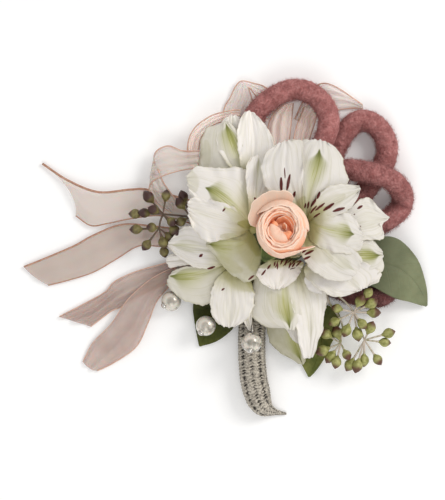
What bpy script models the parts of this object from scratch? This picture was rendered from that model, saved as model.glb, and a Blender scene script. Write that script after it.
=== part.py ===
"""A flower corsage lying on its back: a head of white alstroemeria round a peach spray rose,
with leaves, seeded sprays, wool loops, a sheer ribbon bow, pearls and a braided stem.
The corsage lies in the XY plane with its stem towards -Y, and faces up +Z from a table at Z = 0.
Sizes and places are in millimetres and become metres where the meshes are made."""

import math

import bmesh
import bpy
import numpy as np

MM = 0.001
GAP = 0.35

# The head is a low dome with a hollow for the rose; every bloom spreads in a shell parallel to it
HEAD_CENTRE = (24.0, 4.0)
HEAD_TOP = 35.0
HEAD_FALL = 17.0
HEAD_RADIUS = 60.0
HOLLOW_DEPTH = 9.0
HOLLOW_RADIUS = 14.0
TEPAL_THICKNESS = 0.7
TEPAL_ROWS = 7
TEPAL_COLUMNS = 4
HIDDEN_ROWS = 4
HIDDEN_COLUMNS = 3
TEPAL_START = 1.2
THROAT_SHARE = 0.2
OUTER_CUP = -1.8
INNER_CUP = 1.1
FUNNEL_DEPTH = 6.0
FUNNEL_SHARE = 0.25
TUBE_RADIUS = 2.7
TUBE_DROP = 3.6
STALK_RADIUS = 1.3

# Taped hub under the head, an ellipsoid that every stem meets
HUB_CENTRE = (24.0, 4.0, 7.0)
HUB_RADII = (15.0, 13.0, 5.6)

# Stem bundle and its braid, which rests on the table with a flat underside
STEM_LINE = ((19.0, -2.0, 6.6), (14.0, -22.0, 6.2), (12.0, -36.0, 5.5), (11.8, -50.0, 5.4),
             (12.6, -60.4, 5.4), (13.8, -65.6, 5.4), (15.2, -69.1, 5.0), (17.4, -71.7, 4.0),
             (20.2, -73.0, 2.4), (23.4, -74.2, 1.1), (27.6, -75.0, 0.5))
STEM_POINTS = 40
TRUNK_RINGS = 9
BORE_RINGS = 6
BUNDLE_RADIUS = 4.7
BUNDLE_FLOOR = 1.2
BUNDLE_END = -64.0
BRAID_RADIUS = 6.0
BRAID_RIB = 0.25
BRAID_RINGS = 36
BRAID_START = -33.0
BRAID_OVERLAP = 6.0
BRAID_REACH = (0.0, 0.625, 0.712, 0.785, 0.851, 0.92, 1.0)
BRAID_TAPER = (1.0, 1.0, 0.93, 0.75, 0.45, 0.2, 0.08)
BUNDLE_ROOM = 3.0
STEM_SIDES = 10

ROSE_CENTRE = (24.9, 5.6)
ROSE_BASE = 32.0
ROSE_PETAL_THICKNESS = 0.7
SEPAL_REACH = 5.0
LONG_SEPAL_REACH = 13.0
SEPAL_HALF_WIDTH = 2.6

WOOL_RADIUS = 4.8
RIBBON_THICKNESS = 0.6
LEAF_THICKNESS = 0.8
LEAF_ROWS = 9
LEAF_COLUMNS = 5
PEARL_RADIUS = 4.6
WIRE_RADIUS = 0.45
SEED_LENGTH = 6.2
SEED_RADIUS = 1.9


def material(name, colour, roughness, metallic=0.0):
    """A Principled BSDF material with one colour."""
    made = bpy.data.materials.new(name)
    made.use_nodes = True
    shader = made.node_tree.nodes["Principled BSDF"]
    shader.inputs["Base Color"].default_value = (*colour, 1.0)
    shader.inputs["Roughness"].default_value = roughness
    shader.inputs["Metallic"].default_value = metallic
    return made


def solid(name, vertices, faces, finish):
    """An object from points in millimetres, with its faces turned outwards and shaded smooth."""
    mesh = bpy.data.meshes.new(name)
    mesh.from_pydata([tuple(float(c) * MM for c in v) for v in vertices], [], faces)
    work = bmesh.new()
    work.from_mesh(mesh)
    bmesh.ops.recalc_face_normals(work, faces=work.faces)
    work.to_mesh(mesh)
    work.free()
    mesh.shade_smooth()
    mesh.set_sharp_from_angle(angle=math.radians(50))
    mesh.materials.append(finish)
    made = bpy.data.objects.new(name, mesh)
    bpy.context.scene.collection.objects.link(made)
    return made


def apply_modifiers(item):
    """Replace the object's mesh with what its modifiers make of it."""
    bpy.context.view_layer.update()
    graph = bpy.context.evaluated_depsgraph_get()
    mesh = bpy.data.meshes.new_from_object(item.evaluated_get(graph))
    item.modifiers.clear()
    item.data = mesh
    return item


def keep_outer_shell(item):
    """Keep the connected surface with the most faces: sealed hollows are filled, scraps dropped."""
    work = bmesh.new()
    work.from_mesh(item.data)
    unseen = set(work.faces)
    shells = []
    while unseen:
        shell, front = set(), [unseen.pop()]
        while front:
            face = front.pop()
            shell.add(face)
            for edge in face.edges:
                for other in edge.link_faces:
                    if other in unseen:
                        unseen.remove(other)
                        front.append(other)
        shells.append(shell)
    shells.sort(key=len)
    bmesh.ops.delete(work, geom=[face for shell in shells[:-1] for face in shell], context="FACES")
    work.to_mesh(item.data)
    work.free()
    return item


def union(base, extras):
    """Join the extra solids to the base by one Boolean union, and remove them."""
    group = bpy.data.collections.new(base.name + "_repeats")
    bpy.context.scene.collection.children.link(group)
    for extra in extras:
        bpy.context.scene.collection.objects.unlink(extra)
        group.objects.link(extra)
    join = base.modifiers.new("join", "BOOLEAN")
    join.operation = "UNION"
    join.operand_type = "COLLECTION"
    join.collection = group
    join.solver = "MANIFOLD"
    apply_modifiers(base)
    for extra in extras:
        bpy.data.objects.remove(extra)
    bpy.data.collections.remove(group)
    return keep_outer_shell(base)


def spline(points, count):
    """Points evenly spaced along a Catmull-Rom curve through the given points."""
    given = np.array(points, float)
    ends = np.vstack([2 * given[0] - given[1], given, 2 * given[-1] - given[-2]])
    t = np.linspace(0, 1, 12, endpoint=False)[:, None]
    runs = []
    for a, b, c, d in zip(ends, ends[1:], ends[2:], ends[3:]):
        square = 2 * a - 5 * b + 4 * c - d
        cube = 3 * b - a - 3 * c + d
        runs.append(0.5 * (2 * b + (c - a) * t + square * t ** 2 + cube * t ** 3))
    curve = np.vstack([*runs, given[-1:]])
    steps = np.linalg.norm(np.diff(curve, axis=0), axis=1)
    length = np.concatenate([[0.0], np.cumsum(steps)])
    even = np.linspace(0, length[-1], count)
    return np.column_stack([np.interp(even, length, values) for values in curve.T])


def blade(name, grid, thickness, finish):
    """A closed thin solid round a grid of points, split into triangles alike on both faces."""
    rows, columns = grid.shape[:2]
    normal = np.cross(np.gradient(grid, axis=1), np.gradient(grid, axis=0))
    normal /= np.linalg.norm(normal, axis=2, keepdims=True)
    sides = [(grid + normal * side * thickness / 2).reshape(-1, 3) for side in (1, -1)]
    count = rows * columns
    faces = []
    for row in range(rows - 1):
        for column in range(columns - 1):
            a = row * columns + column
            b, c, d = a + 1, a + columns + 1, a + columns
            faces += [(a, b, c), (a, c, d)]
            faces += [(a + count, c + count, b + count), (a + count, d + count, c + count)]
    index = np.arange(count).reshape(rows, columns)
    rim = [*index[0, :-1], *index[:-1, -1], *index[-1, :0:-1], *index[:0:-1, 0]]
    for a, b in zip(rim, rim[1:] + rim[:1]):
        a, b = int(a), int(b)
        faces += [(b, a, a + count), (b, a + count, b + count)]
    return solid(name, np.vstack(sides), faces, finish)


def tube(name, line, radii, sides, finish, floor=None):
    """A closed round solid along a line of points; points below the floor are raised to it."""
    line = np.array(line, float)
    radii = np.broadcast_to(radii, len(line))
    tangent = np.gradient(line, axis=0)
    tangent /= np.linalg.norm(tangent, axis=1, keepdims=True)
    start = np.array((0.0, 0.0, 1.0)) if abs(tangent[0][2]) < 0.9 else np.array((1.0, 0.0, 0.0))
    angles = np.linspace(0, 2 * math.pi, sides, endpoint=False)[:, None]
    vertices = []
    up = start
    for centre, forward, radius in zip(line, tangent, radii):
        up = up - forward * (up @ forward)
        up /= np.linalg.norm(up)
        side = np.cross(forward, up)
        vertices.append(centre + radius * (np.cos(angles) * side + np.sin(angles) * up))
    rings = len(line)
    vertices = np.vstack([*vertices, line[:1], line[-1:]])
    if floor is not None:
        vertices[:, 2] = np.maximum(vertices[:, 2], floor)
    faces = []
    for ring in range(rings - 1):
        for k in range(sides):
            a, b = ring * sides + k, ring * sides + (k + 1) % sides
            faces += [(a, b, b + sides), (a, b + sides, a + sides)]
    for k in range(sides):
        following = (k + 1) % sides
        last = (rings - 1) * sides
        faces += [(rings * sides, following, k)]
        faces += [(rings * sides + 1, last + k, last + following)]
    return solid(name, vertices, faces, finish)


def ellipsoid(name, centre, radii, rings, sides, finish):
    """A closed ellipsoid, its poles up and down."""
    heights = np.cos(np.linspace(0, math.pi, rings + 2)[1:-1])
    angles = np.linspace(0, 2 * math.pi, sides, endpoint=False)
    vertices = []
    for height in heights:
        wide = math.sqrt(1 - height * height)
        for angle in angles:
            unit = (wide * math.cos(angle), wide * math.sin(angle), height)
            vertices.append([c + r * u for c, r, u in zip(centre, radii, unit)])
    count = len(vertices)
    vertices.append([centre[0], centre[1], centre[2] + radii[2]])
    vertices.append([centre[0], centre[1], centre[2] - radii[2]])
    faces = []
    for ring in range(rings - 1):
        for k in range(sides):
            a, b = ring * sides + k, ring * sides + (k + 1) % sides
            faces += [(a, b, b + sides), (a, b + sides, a + sides)]
    last = (rings - 1) * sides
    for k in range(sides):
        following = (k + 1) % sides
        faces += [(count, following, k), (count + 1, last + k, last + following)]
    return solid(name, vertices, faces, finish)


def shell_height(x, y, level):
    """Height of the shell that lies a level above or below the head's surface."""
    square = (x - HEAD_CENTRE[0]) ** 2 + (y - HEAD_CENTRE[1]) ** 2
    near = (x - ROSE_CENTRE[0]) ** 2 + (y - ROSE_CENTRE[1]) ** 2
    hollow = HOLLOW_DEPTH * np.exp(-near / HOLLOW_RADIUS ** 2)
    return HEAD_TOP + level - HEAD_FALL * square / HEAD_RADIUS ** 2 - hollow


def plain_lines(throat, kind, apex, width):
    """Edge, middle and edge of a hidden tepal: it widens as a sine and narrows as a power."""
    base, tip = np.array(throat, float), np.array(apex, float)
    widest, end_width = (0.68, 0.5) if kind == "outer" else (0.6, 0.1)
    u = np.linspace(0, 1, 12)
    past = np.clip((u - widest) / (1 - widest), 0, 1)
    half = width / 2 * (0.1 + 0.9 * np.sin(np.clip(u / widest, 0, 1) * math.pi / 2) ** 1.5)
    half = half * (1 - (1 - end_width) * past ** 2.2)
    side = np.array((base[1] - tip[1], tip[0] - base[0]))
    side = half[:, None] * side / np.linalg.norm(side)
    middle = base + u[:, None] * (tip - base)
    return middle + side, middle, middle - side


def across(lines, rows, columns):
    """Points on the parabolas across three lines, the first line at v = 1."""
    one, middle, other = (spline(line, rows)[:, None] for line in lines)
    v = np.linspace(-1, 1, columns)[None, :, None]
    return one * v * (v + 1) / 2 + middle * (1 - v ** 2) + other * v * (v - 1) / 2


def tepal_grid(throat, level, kind, lift, options, shape):
    """Surface of one tepal: u runs from the throat to the tip, v from edge to edge. From above it is
    drawn together at the throat. Its height is the head's shell, less a funnel at the throat, plus a
    rise towards the tip and a cup across."""
    seen = len(shape) == 3
    lines = shape if seen else plain_lines(throat, kind, *shape)
    rows, columns = (TEPAL_ROWS, TEPAL_COLUMNS) if seen else (HIDDEN_ROWS, HIDDEN_COLUMNS)
    u = np.linspace(0, 1, rows)[:, None]
    v = np.linspace(-1, 1, columns)[None, :]
    flat = across(lines, rows, columns)
    forward = np.array(lines[1][-1], float) - throat
    forward /= np.linalg.norm(forward)
    side = flat[1, -1] - flat[1, 0]
    side /= np.linalg.norm(side)
    ahead = TEPAL_START * (1 + 5 * u[..., None])
    root = np.array(throat) + forward * ahead + side * v[..., None] * TEPAL_START
    near = np.clip(u / THROAT_SHARE, 0, 1)[..., None]
    flat = root + (flat - root) * near ** 2 * (3 - 2 * near)
    x, y = flat[..., 0], flat[..., 1]
    cup = options.get("cup", OUTER_CUP if kind == "outer" else INNER_CUP)
    z = shell_height(x, y, level + lift)
    z = z - FUNNEL_DEPTH * np.clip(1 - u / FUNNEL_SHARE, 0, 1) ** 2
    z = z + options.get("rise", 0.0) * u ** 2
    z = z + (cup * v ** 2 + options.get("roll", 0.0) * v) * np.sin(math.pi * np.clip(u, 0, 0.8))
    return np.dstack([x, y, z])


# Each bloom has a throat, the level of its shell, and six tepals: kind, raise, options, and either one
# edge, the middle and the other edge from throat to tip, or an apex and a width for a hidden tepal
BLOOMS = {
    "bloom_right": ((35.6, 10.6), 0.0, (
        ("inner", 1.4, {}, (
            ((31.3, 14.1), (24.1, 18.9), (18.2, 24.7), (15.6, 32.7), (16.5, 39), (19.2, 43.1),
             (22.3, 44.9)),
            ((34.4, 10.9), (30.3, 22), (26.7, 34.5), (25.9, 46.5)),
            ((35.7, 14), (34.3, 22), (34.3, 32.7), (34.4, 41.7), (33.5, 47.2), (29.5, 47.2)))),
        ("outer", 0.0, {}, (
            ((34.3, 14), (31.2, 22), (29.8, 30.9), (29.4, 39), (31.3, 45.4), (35.8, 47.4)),
            ((35.7, 10.9), (37.4, 24.7), (41, 38.1), (42.1, 47.2)),
            ((38.3, 13.1), (46.3, 20.2), (54.4, 26.5), (53.6, 32.8), (52.3, 38.7), (49.3, 43.7),
             (45.7, 45.9)))),
        ("inner", 1.2, {}, (
            ((37, 12.7), (39.2, 20.2), (44.5, 25.6), (50.8, 27.4), (55.8, 27), (59.4, 26.6)),
            ((37.4, 11.4), (44.5, 16.7), (52.6, 21.1), (59.9, 25.2)),
            ((38.8, 10), (47.6, 12.7), (54.3, 15.8), (57.5, 19.4), (58.9, 22.1), (59.4, 24.3)))),
        ("outer", 2.4, {}, (
            ((37.9, 10.9), (43.2, 14), (49.4, 15.3), (54.3, 14.5), (57.9, 11.3), (60.2, 7.3)),
            ((37.4, 10), (44, 7.8), (51.6, 6), (60.6, 4.2)),
            ((36.6, 8.7), (37.4, 2.4), (42.7, -1.6), (49.8, -3.4), (55.2, -3.8), (59.7, -2),
             (61.1, 1.1)))),
        ("inner", 0.6, {}, (
            ((37.9, 8.7), (45.3, 4.2), (52.9, 0.6), (58.4, -2.9), (60.7, -6.5)),
            ((36.6, 7.8), (42.7, 0.2), (51.6, -7.4), (58.4, -11.8)),
            ((34.8, 7.3), (32.9, -0.2), (35.1, -7.4), (40.9, -13.1), (48.1, -15.8), (54.4, -15.9)))),
        ("outer", 0.0, {}, ((22.0, 23.0), 9.0)))),
    "bloom_left": ((11.7, 7.9), -4.5, (
        ("outer", 1.0, {}, (
            ((10.7, 10.5), (7.6, 6.9), (0.9, 10.5), (-6.3, 15), (-12.1, 19.1), (-16.6, 23.2)),
            ((11.6, 10.9), (2.7, 17.6), (-7.2, 24.9), (-17.6, 29)),
            ((12.5, 14.1), (11.6, 23.9), (9.4, 33.8), (2.7, 35), (-4.9, 34.8), (-11.7, 35.8), (-15.8, 34),
             (-18, 30.9)))),
        ("inner", 0.4, {}, (
            ((10.7, 6), (6.2, 4.2), (-1.8, 2.4), (-8.5, 1.5), (-12, 4.2), (-14.9, 8), (-16.8, 12.5)),
            ((11.6, 7.8), (2.7, 10.8), (-7, 13.6), (-17.2, 17)),
            ((11.6, 10.5), (4, 17), (-4.9, 20), (-11.6, 21.6), (-15.6, 21.4), (-17.1, 19.4)))),
        ("outer", -0.6, {"cup": -2.3, "roll": -0.5}, (
            ((15.6, 3.5), (16.2, -2.5), (15.2, -9), (13.4, -15), (8, -15.9), (2.7, -13.2), (-1.8, -8.7),
             (-5.4, -4.3), (-8.1, -0.7)),
            ((12.5, 4.2), (6.2, 0.7), (-1.8, 0.2), (-9, 0.7)),
            ((10.7, 7.4), (6.2, 6.5), (0.9, 6), (-4.5, 4.7), (-7.6, 2.4)))),
        ("inner", 2.0, {}, (
            ((10.3, 13.2), (9.8, 20.3), (8.9, 27.5), (8.9, 34.7), (10.8, 39.2)),
            ((12.5, 13.2), (13.4, 22.1), (14.3, 31.1), (14.8, 40.3)),
            ((15.2, 15), (18.8, 22.1), (21.9, 30.2), (21.9, 35.6), (19.7, 39.2)))),
        ("inner", -6.5, {}, ((3.0, -13.0), 9.0)),
        ("inner", 1.4, {}, ((21.0, 18.0), 7.0)))),
    "bloom_lower_right": ((41.4, -2.0), -5.0, (
        ("inner", 1.0, {}, (
            ((42.9, 1.1), (49.6, 10.5), (56.5, 17.7), (62.9, 21.8), (66.6, 19.1), (70.3, 15.5),
             (72.6, 13.3)),
            ((43.8, -0.2), (53.2, 6.9), (62.8, 11), (73, 11.9)),
            ((45.6, -2), (55.5, 0.7), (63.7, 2.5), (69.3, 2.5), (71.1, 5.2), (68.4, 9.7)))),
        ("outer", 1.6, {}, (
            ((43.3, -1.1), (51, 0.7), (59.1, 3.4), (65.6, 2.5), (69.3, -1.1)),
            ((42.9, -2.5), (52.3, -3.8), (61, -4.3), (70.7, -4.3)),
            ((42, -4.7), (50.1, -8.3), (58.3, -11.9), (64.8, -13.7), (69.4, -12.4), (71.2, -8.8),
             (69.8, -5.6)))),
        ("inner", 0.4, {}, (
            ((44.7, -2.9), (53.2, -3.8), (61.9, -7.4), (69.4, -11.9), (69, -16), (64.8, -17.8)),
            ((42, -4.7), (48.7, -10.1), (55.6, -15.5), (60.7, -20)),
            ((39.3, -4.7), (34.8, -9.2), (36.6, -15.4), (42.9, -20.4), (49.3, -23.1), (54.8, -22.2),
             (58.9, -20.4)))),
        ("outer", 0.0, {}, ((44.5, -21.0), 17.0)),
        ("outer", 0.0, {}, ((57.0, 19.0), 13.0)),
        ("inner", 1.4, {}, ((33.5, -14.0), 8.0)))),
    "bloom_lower": ((27.4, -5.6), -9.0, (
        ("inner", 2.0, {}, (
            ((24.2, -5.2), (17.9, -7.4), (13.9, -11), (14.3, -14.6), (16.6, -17.3), (19.7, -19.1)),
            ((27.4, -4.7), (25.5, -10.1), (23.8, -15.5), (22.9, -19.5)),
            ((30.5, -5.6), (34.5, -7.4), (33.2, -11.9), (30.5, -15.9), (26.5, -18.6)))),
        ("outer", 0.6, {"cup": -3.2, "roll": -1.4}, (
            ((25.1, -7.4), (17.9, -10.1), (13, -14.6), (10.8, -20.9), (10.3, -27.2), (12.2, -32.7),
             (16.2, -35.8), (20.7, -37.2), (24.8, -36.7)),
            ((27.4, -7.4), (26.4, -16.4), (27, -26.3), (28.9, -38.1)),
            ((29.6, -8.3), (31.8, -15.5), (33.2, -23.6), (33.8, -30.8), (32.9, -35.4), (31.1, -37.7)))),
        ("inner", -0.4, {}, (
            ((29.2, -7.4), (28.7, -15.5), (29.2, -24.5), (31.1, -33.6), (32.6, -42.7), (34, -48.3),
             (35, -51.1)),
            ((30.9, -7.4), (34.5, -17.3), (37.9, -33.6), (37.7, -51.1)),
            ((33.2, -6.5), (40.4, -11.9), (44.5, -19.1), (45, -26.8), (43.8, -33.6), (43.9, -38.6),
             (41.7, -42.8), (40.8, -47.4), (39.5, -50.6)))),
        ("outer", -2.2, {}, ((18.0, -19.0), 10.0)),
        ("inner", 1.4, {}, ((34.5, 0.0), 6.0)),
        ("outer", 0.0, {}, ((18.0, 0.0), 7.0)))),
    "bloom_top": ((10.8, 25.0), -10.0, (
        ("outer", 0.0, {"rise": 5.0, "cup": -3.0, "roll": -1.2}, (
            ((9.4, 26.3), (1.8, 27.7), (-6.3, 31.4), (-11.8, 36.9), (-11.8, 43.4), (-10.9, 48.9),
             (-9.1, 53.5), (-5.4, 54.4), (-2.3, 54.8)),
            ((10.8, 26.3), (6.3, 38.6), (2.7, 47.8), (-0.4, 56.2)),
            ((12.1, 27.6), (13.5, 34.9), (10.8, 43.1), (7.7, 48.7), (4.5, 52.9), (1.4, 55.7)))),
        ("inner", 0.6, {"rise": 5.0}, (
            ((9.4, 27.6), (6.8, 34.9), (5.4, 43.2), (5, 50.5), (5.9, 56.1), (7.8, 59.4)),
            ((11.2, 27.6), (12.6, 38.5), (12.7, 49.6), (10.9, 60.8)),
            ((13.5, 27.6), (18.9, 34), (22.1, 40.3), (21.2, 47.2), (18.6, 53.2), (15, 57.5)))),
        ("inner", -1.4, {"rise": 4.0}, (
            ((8.1, 29.5), (0.9, 36.3), (-4.1, 45.6), (-3.2, 53.9), (0, 58.1)),
            ((9.9, 29.5), (6.3, 39.5), (4.1, 48.7), (3.2, 59.2)),
            ((11.7, 29.4), (10.8, 38.5), (10, 47.7), (7.7, 54.7), (5.9, 58.2)))),
        ("outer", 0.0, {}, ((26.5, 39.0), 13.0)),
        ("inner", 1.4, {}, ((-1.0, 20.5), 8.0)),
        ("inner", 1.4, {}, ((20.0, 19.5), 6.0)))),
    "bloom_lower_left": ((4.0, -7.4), -13.5, (
        ("inner", 1.8, {}, (
            ((2.7, -5.6), (-2.7, -9.2), (-9, -10.6), (-15.4, -9.3), (-20.4, -6.1), (-24.1, -2.9),
             (-25.9, -0.7)),
            ((3.2, -4.3), (-6.3, -2), (-16.3, -0.7), (-26.4, 0.7)),
            ((2.7, -2), (-2.7, 2.5), (-9, 4.8), (-13.1, 7.9), (-17.2, 9.1), (-21.3, 7.1), (-24.5, 3.4)))),
        ("outer", 0.6, {"cup": -1.0, "rise": 0.8}, (
            ((3.2, -8.8), (0, -17.8), (-6.3, -25.6), (-13.6, -26.8), (-20, -24.3), (-24.6, -20.7),
             (-26.9, -17.5)),
            ((1.8, -7.4), (-7.2, -11.5), (-16.3, -13.4), (-25.9, -13.9)),
            ((0.9, -5.6), (-5.4, -8.3), (-12.7, -9.3), (-19, -9.7), (-23.2, -11.1)))),
        ("inner", 1.6, {"roll": -0.8}, (
            ((0.9, -10.1), (-4.1, -14.7), (-6.8, -21), (-7.2, -27.4), (-5.9, -32.5), (-3.2, -35.6)),
            ((3.6, -10.1), (2.7, -17.8), (2.3, -27.4), (1.4, -37)),
            ((6.3, -10.1), (10.8, -15.5), (12.6, -21.9), (12.2, -28.2), (9.5, -33.3), (5.5, -36)))),
        ("inner", -0.6, {}, (
            ((0.9, -6.5), (-7.2, -7.4), (-14.5, -8.4), (-20.9, -9.3), (-25.5, -10.2)),
            ((0.9, -5.2), (-8.1, -5.6), (-18.1, -6.1), (-27.3, -7)),
            ((0.9, -3.8), (-7.2, -2.9), (-15.4, -2.5), (-22.7, -3.4), (-26.4, -4.8)))),
        ("outer", 0.0, {}, ((-4.0, 5.5), 10.0)),
        ("inner", -1.5, {}, ((13.0, -17.0), 8.0)))),
    "bloom_bottom": ((26.5, -20.0), -17.5, (
        ("outer", 0.0, {"rise": 3.2, "cup": -2.6}, (
            ((26.3, -21.9), (22.2, -28.3), (19.2, -33.8), (18.7, -39.4), (20.2, -44), (24.3, -48.7),
             (30.3, -51.9)),
            ((27.2, -21), (27.2, -31.5), (30.6, -43.1), (34.9, -54.3)),
            ((28.1, -21), (31.8, -29.2), (35.5, -38.5), (37, -45.4), (36.2, -51.5)))),
        ("inner", 1.4, {}, ((38.5, -47.0), 13.0)),
        ("outer", 0.0, {}, ((45.0, -29.0), 14.0)),
        ("inner", 1.4, {}, ((17.0, -30.0), 9.0)),
        ("outer", 0.0, {}, ((14.0, -22.5), 8.0)),
        ("inner", 1.4, {}, ((34.5, -13.0), 6.0)))),
}


def hub_meeting(point):
    """The place just outside the taped hub where a stem coming from the given point ends."""
    away = np.array(point, float) - HUB_CENTRE
    reach = np.linalg.norm(away / (np.array(HUB_RADII) + STALK_RADIUS))
    return np.array(HUB_CENTRE) + away / reach


def stalk_line(x, y, top):
    """A stem's line from under a flower down to the hub, with a bend on the way."""
    below = np.array((x, y, max(top - 9.0, HUB_CENTRE[2])))
    end = hub_meeting(below)
    if end[2] > below[2] - 0.5:
        below = (end + (x, y, top)) / 2
    return spline(((x, y, top), (x, y, (top + below[2]) / 2), tuple(below), tuple(end)), 6)


def bloom(name, throat, level, tepals, white):
    """One bloom: six tepals grown from a tube, an ovary and a stalk that ends at the hub."""
    top = shell_height(*throat, level) - TUBE_DROP
    line = stalk_line(*throat, top)
    radii = (TUBE_RADIUS, TUBE_RADIUS * 0.9, TUBE_RADIUS * 0.8, 1.8, STALK_RADIUS, STALK_RADIUS)
    base = tube(name, line, radii, 7, white)
    petals = [blade(f"{name}_{k}", tepal_grid(throat, level, *tepal), TEPAL_THICKNESS, white)
              for k, tepal in enumerate(tepals)]
    return union(base, petals)


# Petals of the rose: direction in degrees, span, then the distance from the middle and the height at
# the foot, the belly and the rim, how far the rim is moved, and how far one end draws out to a point
ROSE_PETALS = (
    (123, 2.0, (6.0, 3.0), (12.4, 7.2), (16.6, 9.8), (0.3, 0.2), 0.0),
    (277, 1.95, (6.0, 2.0), (11.9, 6.0), (11.3, 10.8), (0.6, 0.0), 4.8),
    (200, 2.7, (5.0, 1.0), (11.4, 6.2), (9.5, 12.7), (0.0, 0.0), 0.0),
    (322, 2.5, (5.0, 1.0), (11.5, 6.2), (9.3, 12.2), (0.0, 0.0), 0.0),
    (72, 2.6, (5.0, 1.0), (11.6, 6.4), (9.1, 12.9), (0.0, 0.0), 0.0),
    (112, 2.5, (4.5, 2.0), (8.6, 7.0), (7.7, 12.4), (0.0, 0.2), 0.0),
    (238, 2.5, (4.5, 2.0), (8.6, 7.0), (7.6, 12.0), (0.1, 0.0), 0.0),
    (352, 2.4, (4.0, 2.0), (8.2, 7.0), (7.3, 11.8), (0.2, 0.2), 0.0),
    (243, 2.9, (0.6, 5.4), (4.2, 7.2), (6.4, 11.0), (0.5, 0.2), 0.0),
    (20, 2.6, (2.6, 3.0), (4.5, 6.8), (3.0, 9.7), (0.8, 1.1), 0.0),
    (115, 2.4, (2.4, 3.0), (4.4, 6.6), (3.3, 9.6), (0.8, 1.2), 0.0),
    (305, 2.4, (2.4, 3.0), (4.0, 7.0), (2.1, 9.9), (0.8, 1.0), 0.0),
    (215, 3.0, (2.4, 3.0), (4.2, 7.3), (1.5, 10.1), (0.6, 0.8), 0.0),
)
ROSE_LEAN = (-0.9, 2.9)
LEAN_HEIGHT = 13.0


def lean(height):
    """How far the rose leans at a height above its foot."""
    return (np.asarray(height) / LEAN_HEIGHT) ** 2


def rose_petal(degrees, span, foot, belly, rim, shift, point):
    """A piece of a cup round the rose's axis: distance and height follow a parabola from foot through
    belly to rim, the rim falls towards both ends, and one end lies further out than the other."""
    u = np.linspace(0, 1, 4)[:, None]
    v = np.linspace(-1, 1, 5)[None, :]
    ahead = np.clip(v, 0, 1)
    up = u + (1 - u) * 0.9 * ahead ** 4 * (point > 0)
    r, high = (a * (1 - up) ** 2 + (4 * b - a - c) * up * (1 - up) + c * up ** 2
               for a, b, c in zip(foot, belly, rim))
    r = r + 0.35 * v * up + point * ahead ** 3 * up ** 2
    high = high - 0.9 * np.abs(v) ** 3 * up ** 2
    angle = math.radians(degrees) + v * span / 2
    x = ROSE_CENTRE[0] + r * np.cos(angle) + ROSE_LEAN[0] * lean(high) + shift[0] * u
    y = ROSE_CENTRE[1] + r * np.sin(angle) + ROSE_LEAN[1] * lean(high) + shift[1] * u
    return np.dstack([x, y, ROSE_BASE + high])


def rose():
    """Petals wrapped round a core that leans with them."""
    peach = material("rose_peach", (0.93, 0.55, 0.38), 0.5)
    high = np.array((0.4, 2.0, 4.0, 6.0, 6.6))
    x, y = (c + slope * lean(high) for c, slope in zip(ROSE_CENTRE, ROSE_LEAN))
    line = np.column_stack([x, y, ROSE_BASE + high])
    core = tube("spray_rose_petals", line, (4.6, 6.6, 7.0, 5.0, 2.0), 10, peach)
    petals = [blade(f"rose_{k}", rose_petal(*petal), ROSE_PETAL_THICKNESS, peach)
              for k, petal in enumerate(ROSE_PETALS)]
    union(core, petals)


def rose_calyx():
    """The green cup under the rose with five sepals and its stalk."""
    green = material("calyx_green", (0.2, 0.3, 0.1), 0.55)
    x, y = ROSE_CENTRE
    top = ROSE_BASE + 0.2
    line = stalk_line(x, y, top - 4.0)
    line = np.vstack([(x, y, top), (x, y, top - 1.8), line])
    cup = tube("spray_rose_calyx", line, (3.0, 3.2, 2.4, *([1.5] * 5)), 7, green)
    sepals = []
    for k in range(5):
        turn = math.radians(236 + 72 * k)
        u = np.linspace(0, 1, 4)[:, None]
        v = np.linspace(-1, 1, 3)[None, :]
        along = 1.5 + (LONG_SEPAL_REACH if k == 0 else SEPAL_REACH) * u
        wide = SEPAL_HALF_WIDTH * np.sin(math.pi * (0.16 + 0.8 * u)) * v
        sx = x + along * math.cos(turn) - wide * math.sin(turn)
        sy = y + along * math.sin(turn) + wide * math.cos(turn)
        sz = top - 1.1 - 0.8 * u ** 2 - 0.3 * v ** 2
        sepals.append(blade(f"sepal_{k}", np.dstack([sx, sy, sz]), TEPAL_THICKNESS, green))
    union(cup, sepals)


def stem_bundle():
    """Taped stems: the trunk inside the braid and the hub under the head, as one body."""
    tape = material("stem_tape", (0.3, 0.38, 0.22), 0.7)
    line = spline(STEM_LINE, STEM_POINTS)
    held = spline(line[line[:, 1] > BUNDLE_END], TRUNK_RINGS)
    trunk = tube("taped_stems", held, BUNDLE_RADIUS, STEM_SIDES, tape, floor=BUNDLE_FLOOR)
    hub = ellipsoid("hub", HUB_CENTRE, HUB_RADII, 7, 14, tape)
    union(trunk, [hub])


def braid():
    """The braid wound round the stems, ribbed across, with its end drawn out to a small tail."""
    silver = material("braid_silver", (0.62, 0.58, 0.52), 0.35, 1.0)
    line = spline(STEM_LINE, BRAID_RINGS)
    line = line[line[:, 1] < BRAID_START]
    reach = np.linspace(0, 1, len(line))
    taper = np.interp(reach, BRAID_REACH, BRAID_TAPER)
    radii = taper * (BRAID_RADIUS + BRAID_RIB * np.where(np.arange(len(line)) % 2, 0.5, -0.5))
    wrap = tube("silver_braid", line, radii, STEM_SIDES, silver, floor=0.0)
    inside = spline(STEM_LINE, STEM_POINTS)
    covered = (inside[:, 1] > BUNDLE_END - BUNDLE_ROOM) & (inside[:, 1] < BRAID_START + BRAID_OVERLAP)
    bore_radius, bore_floor = BUNDLE_RADIUS + GAP, BUNDLE_FLOOR - GAP
    bore_line = spline(inside[covered], BORE_RINGS)
    bore = tube("bore", bore_line, bore_radius, STEM_SIDES, silver, floor=bore_floor)
    cut = wrap.modifiers.new("bore", "BOOLEAN")
    cut.operation = "DIFFERENCE"
    cut.object = bore
    apply_modifiers(wrap)
    bpy.data.objects.remove(bore)


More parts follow.
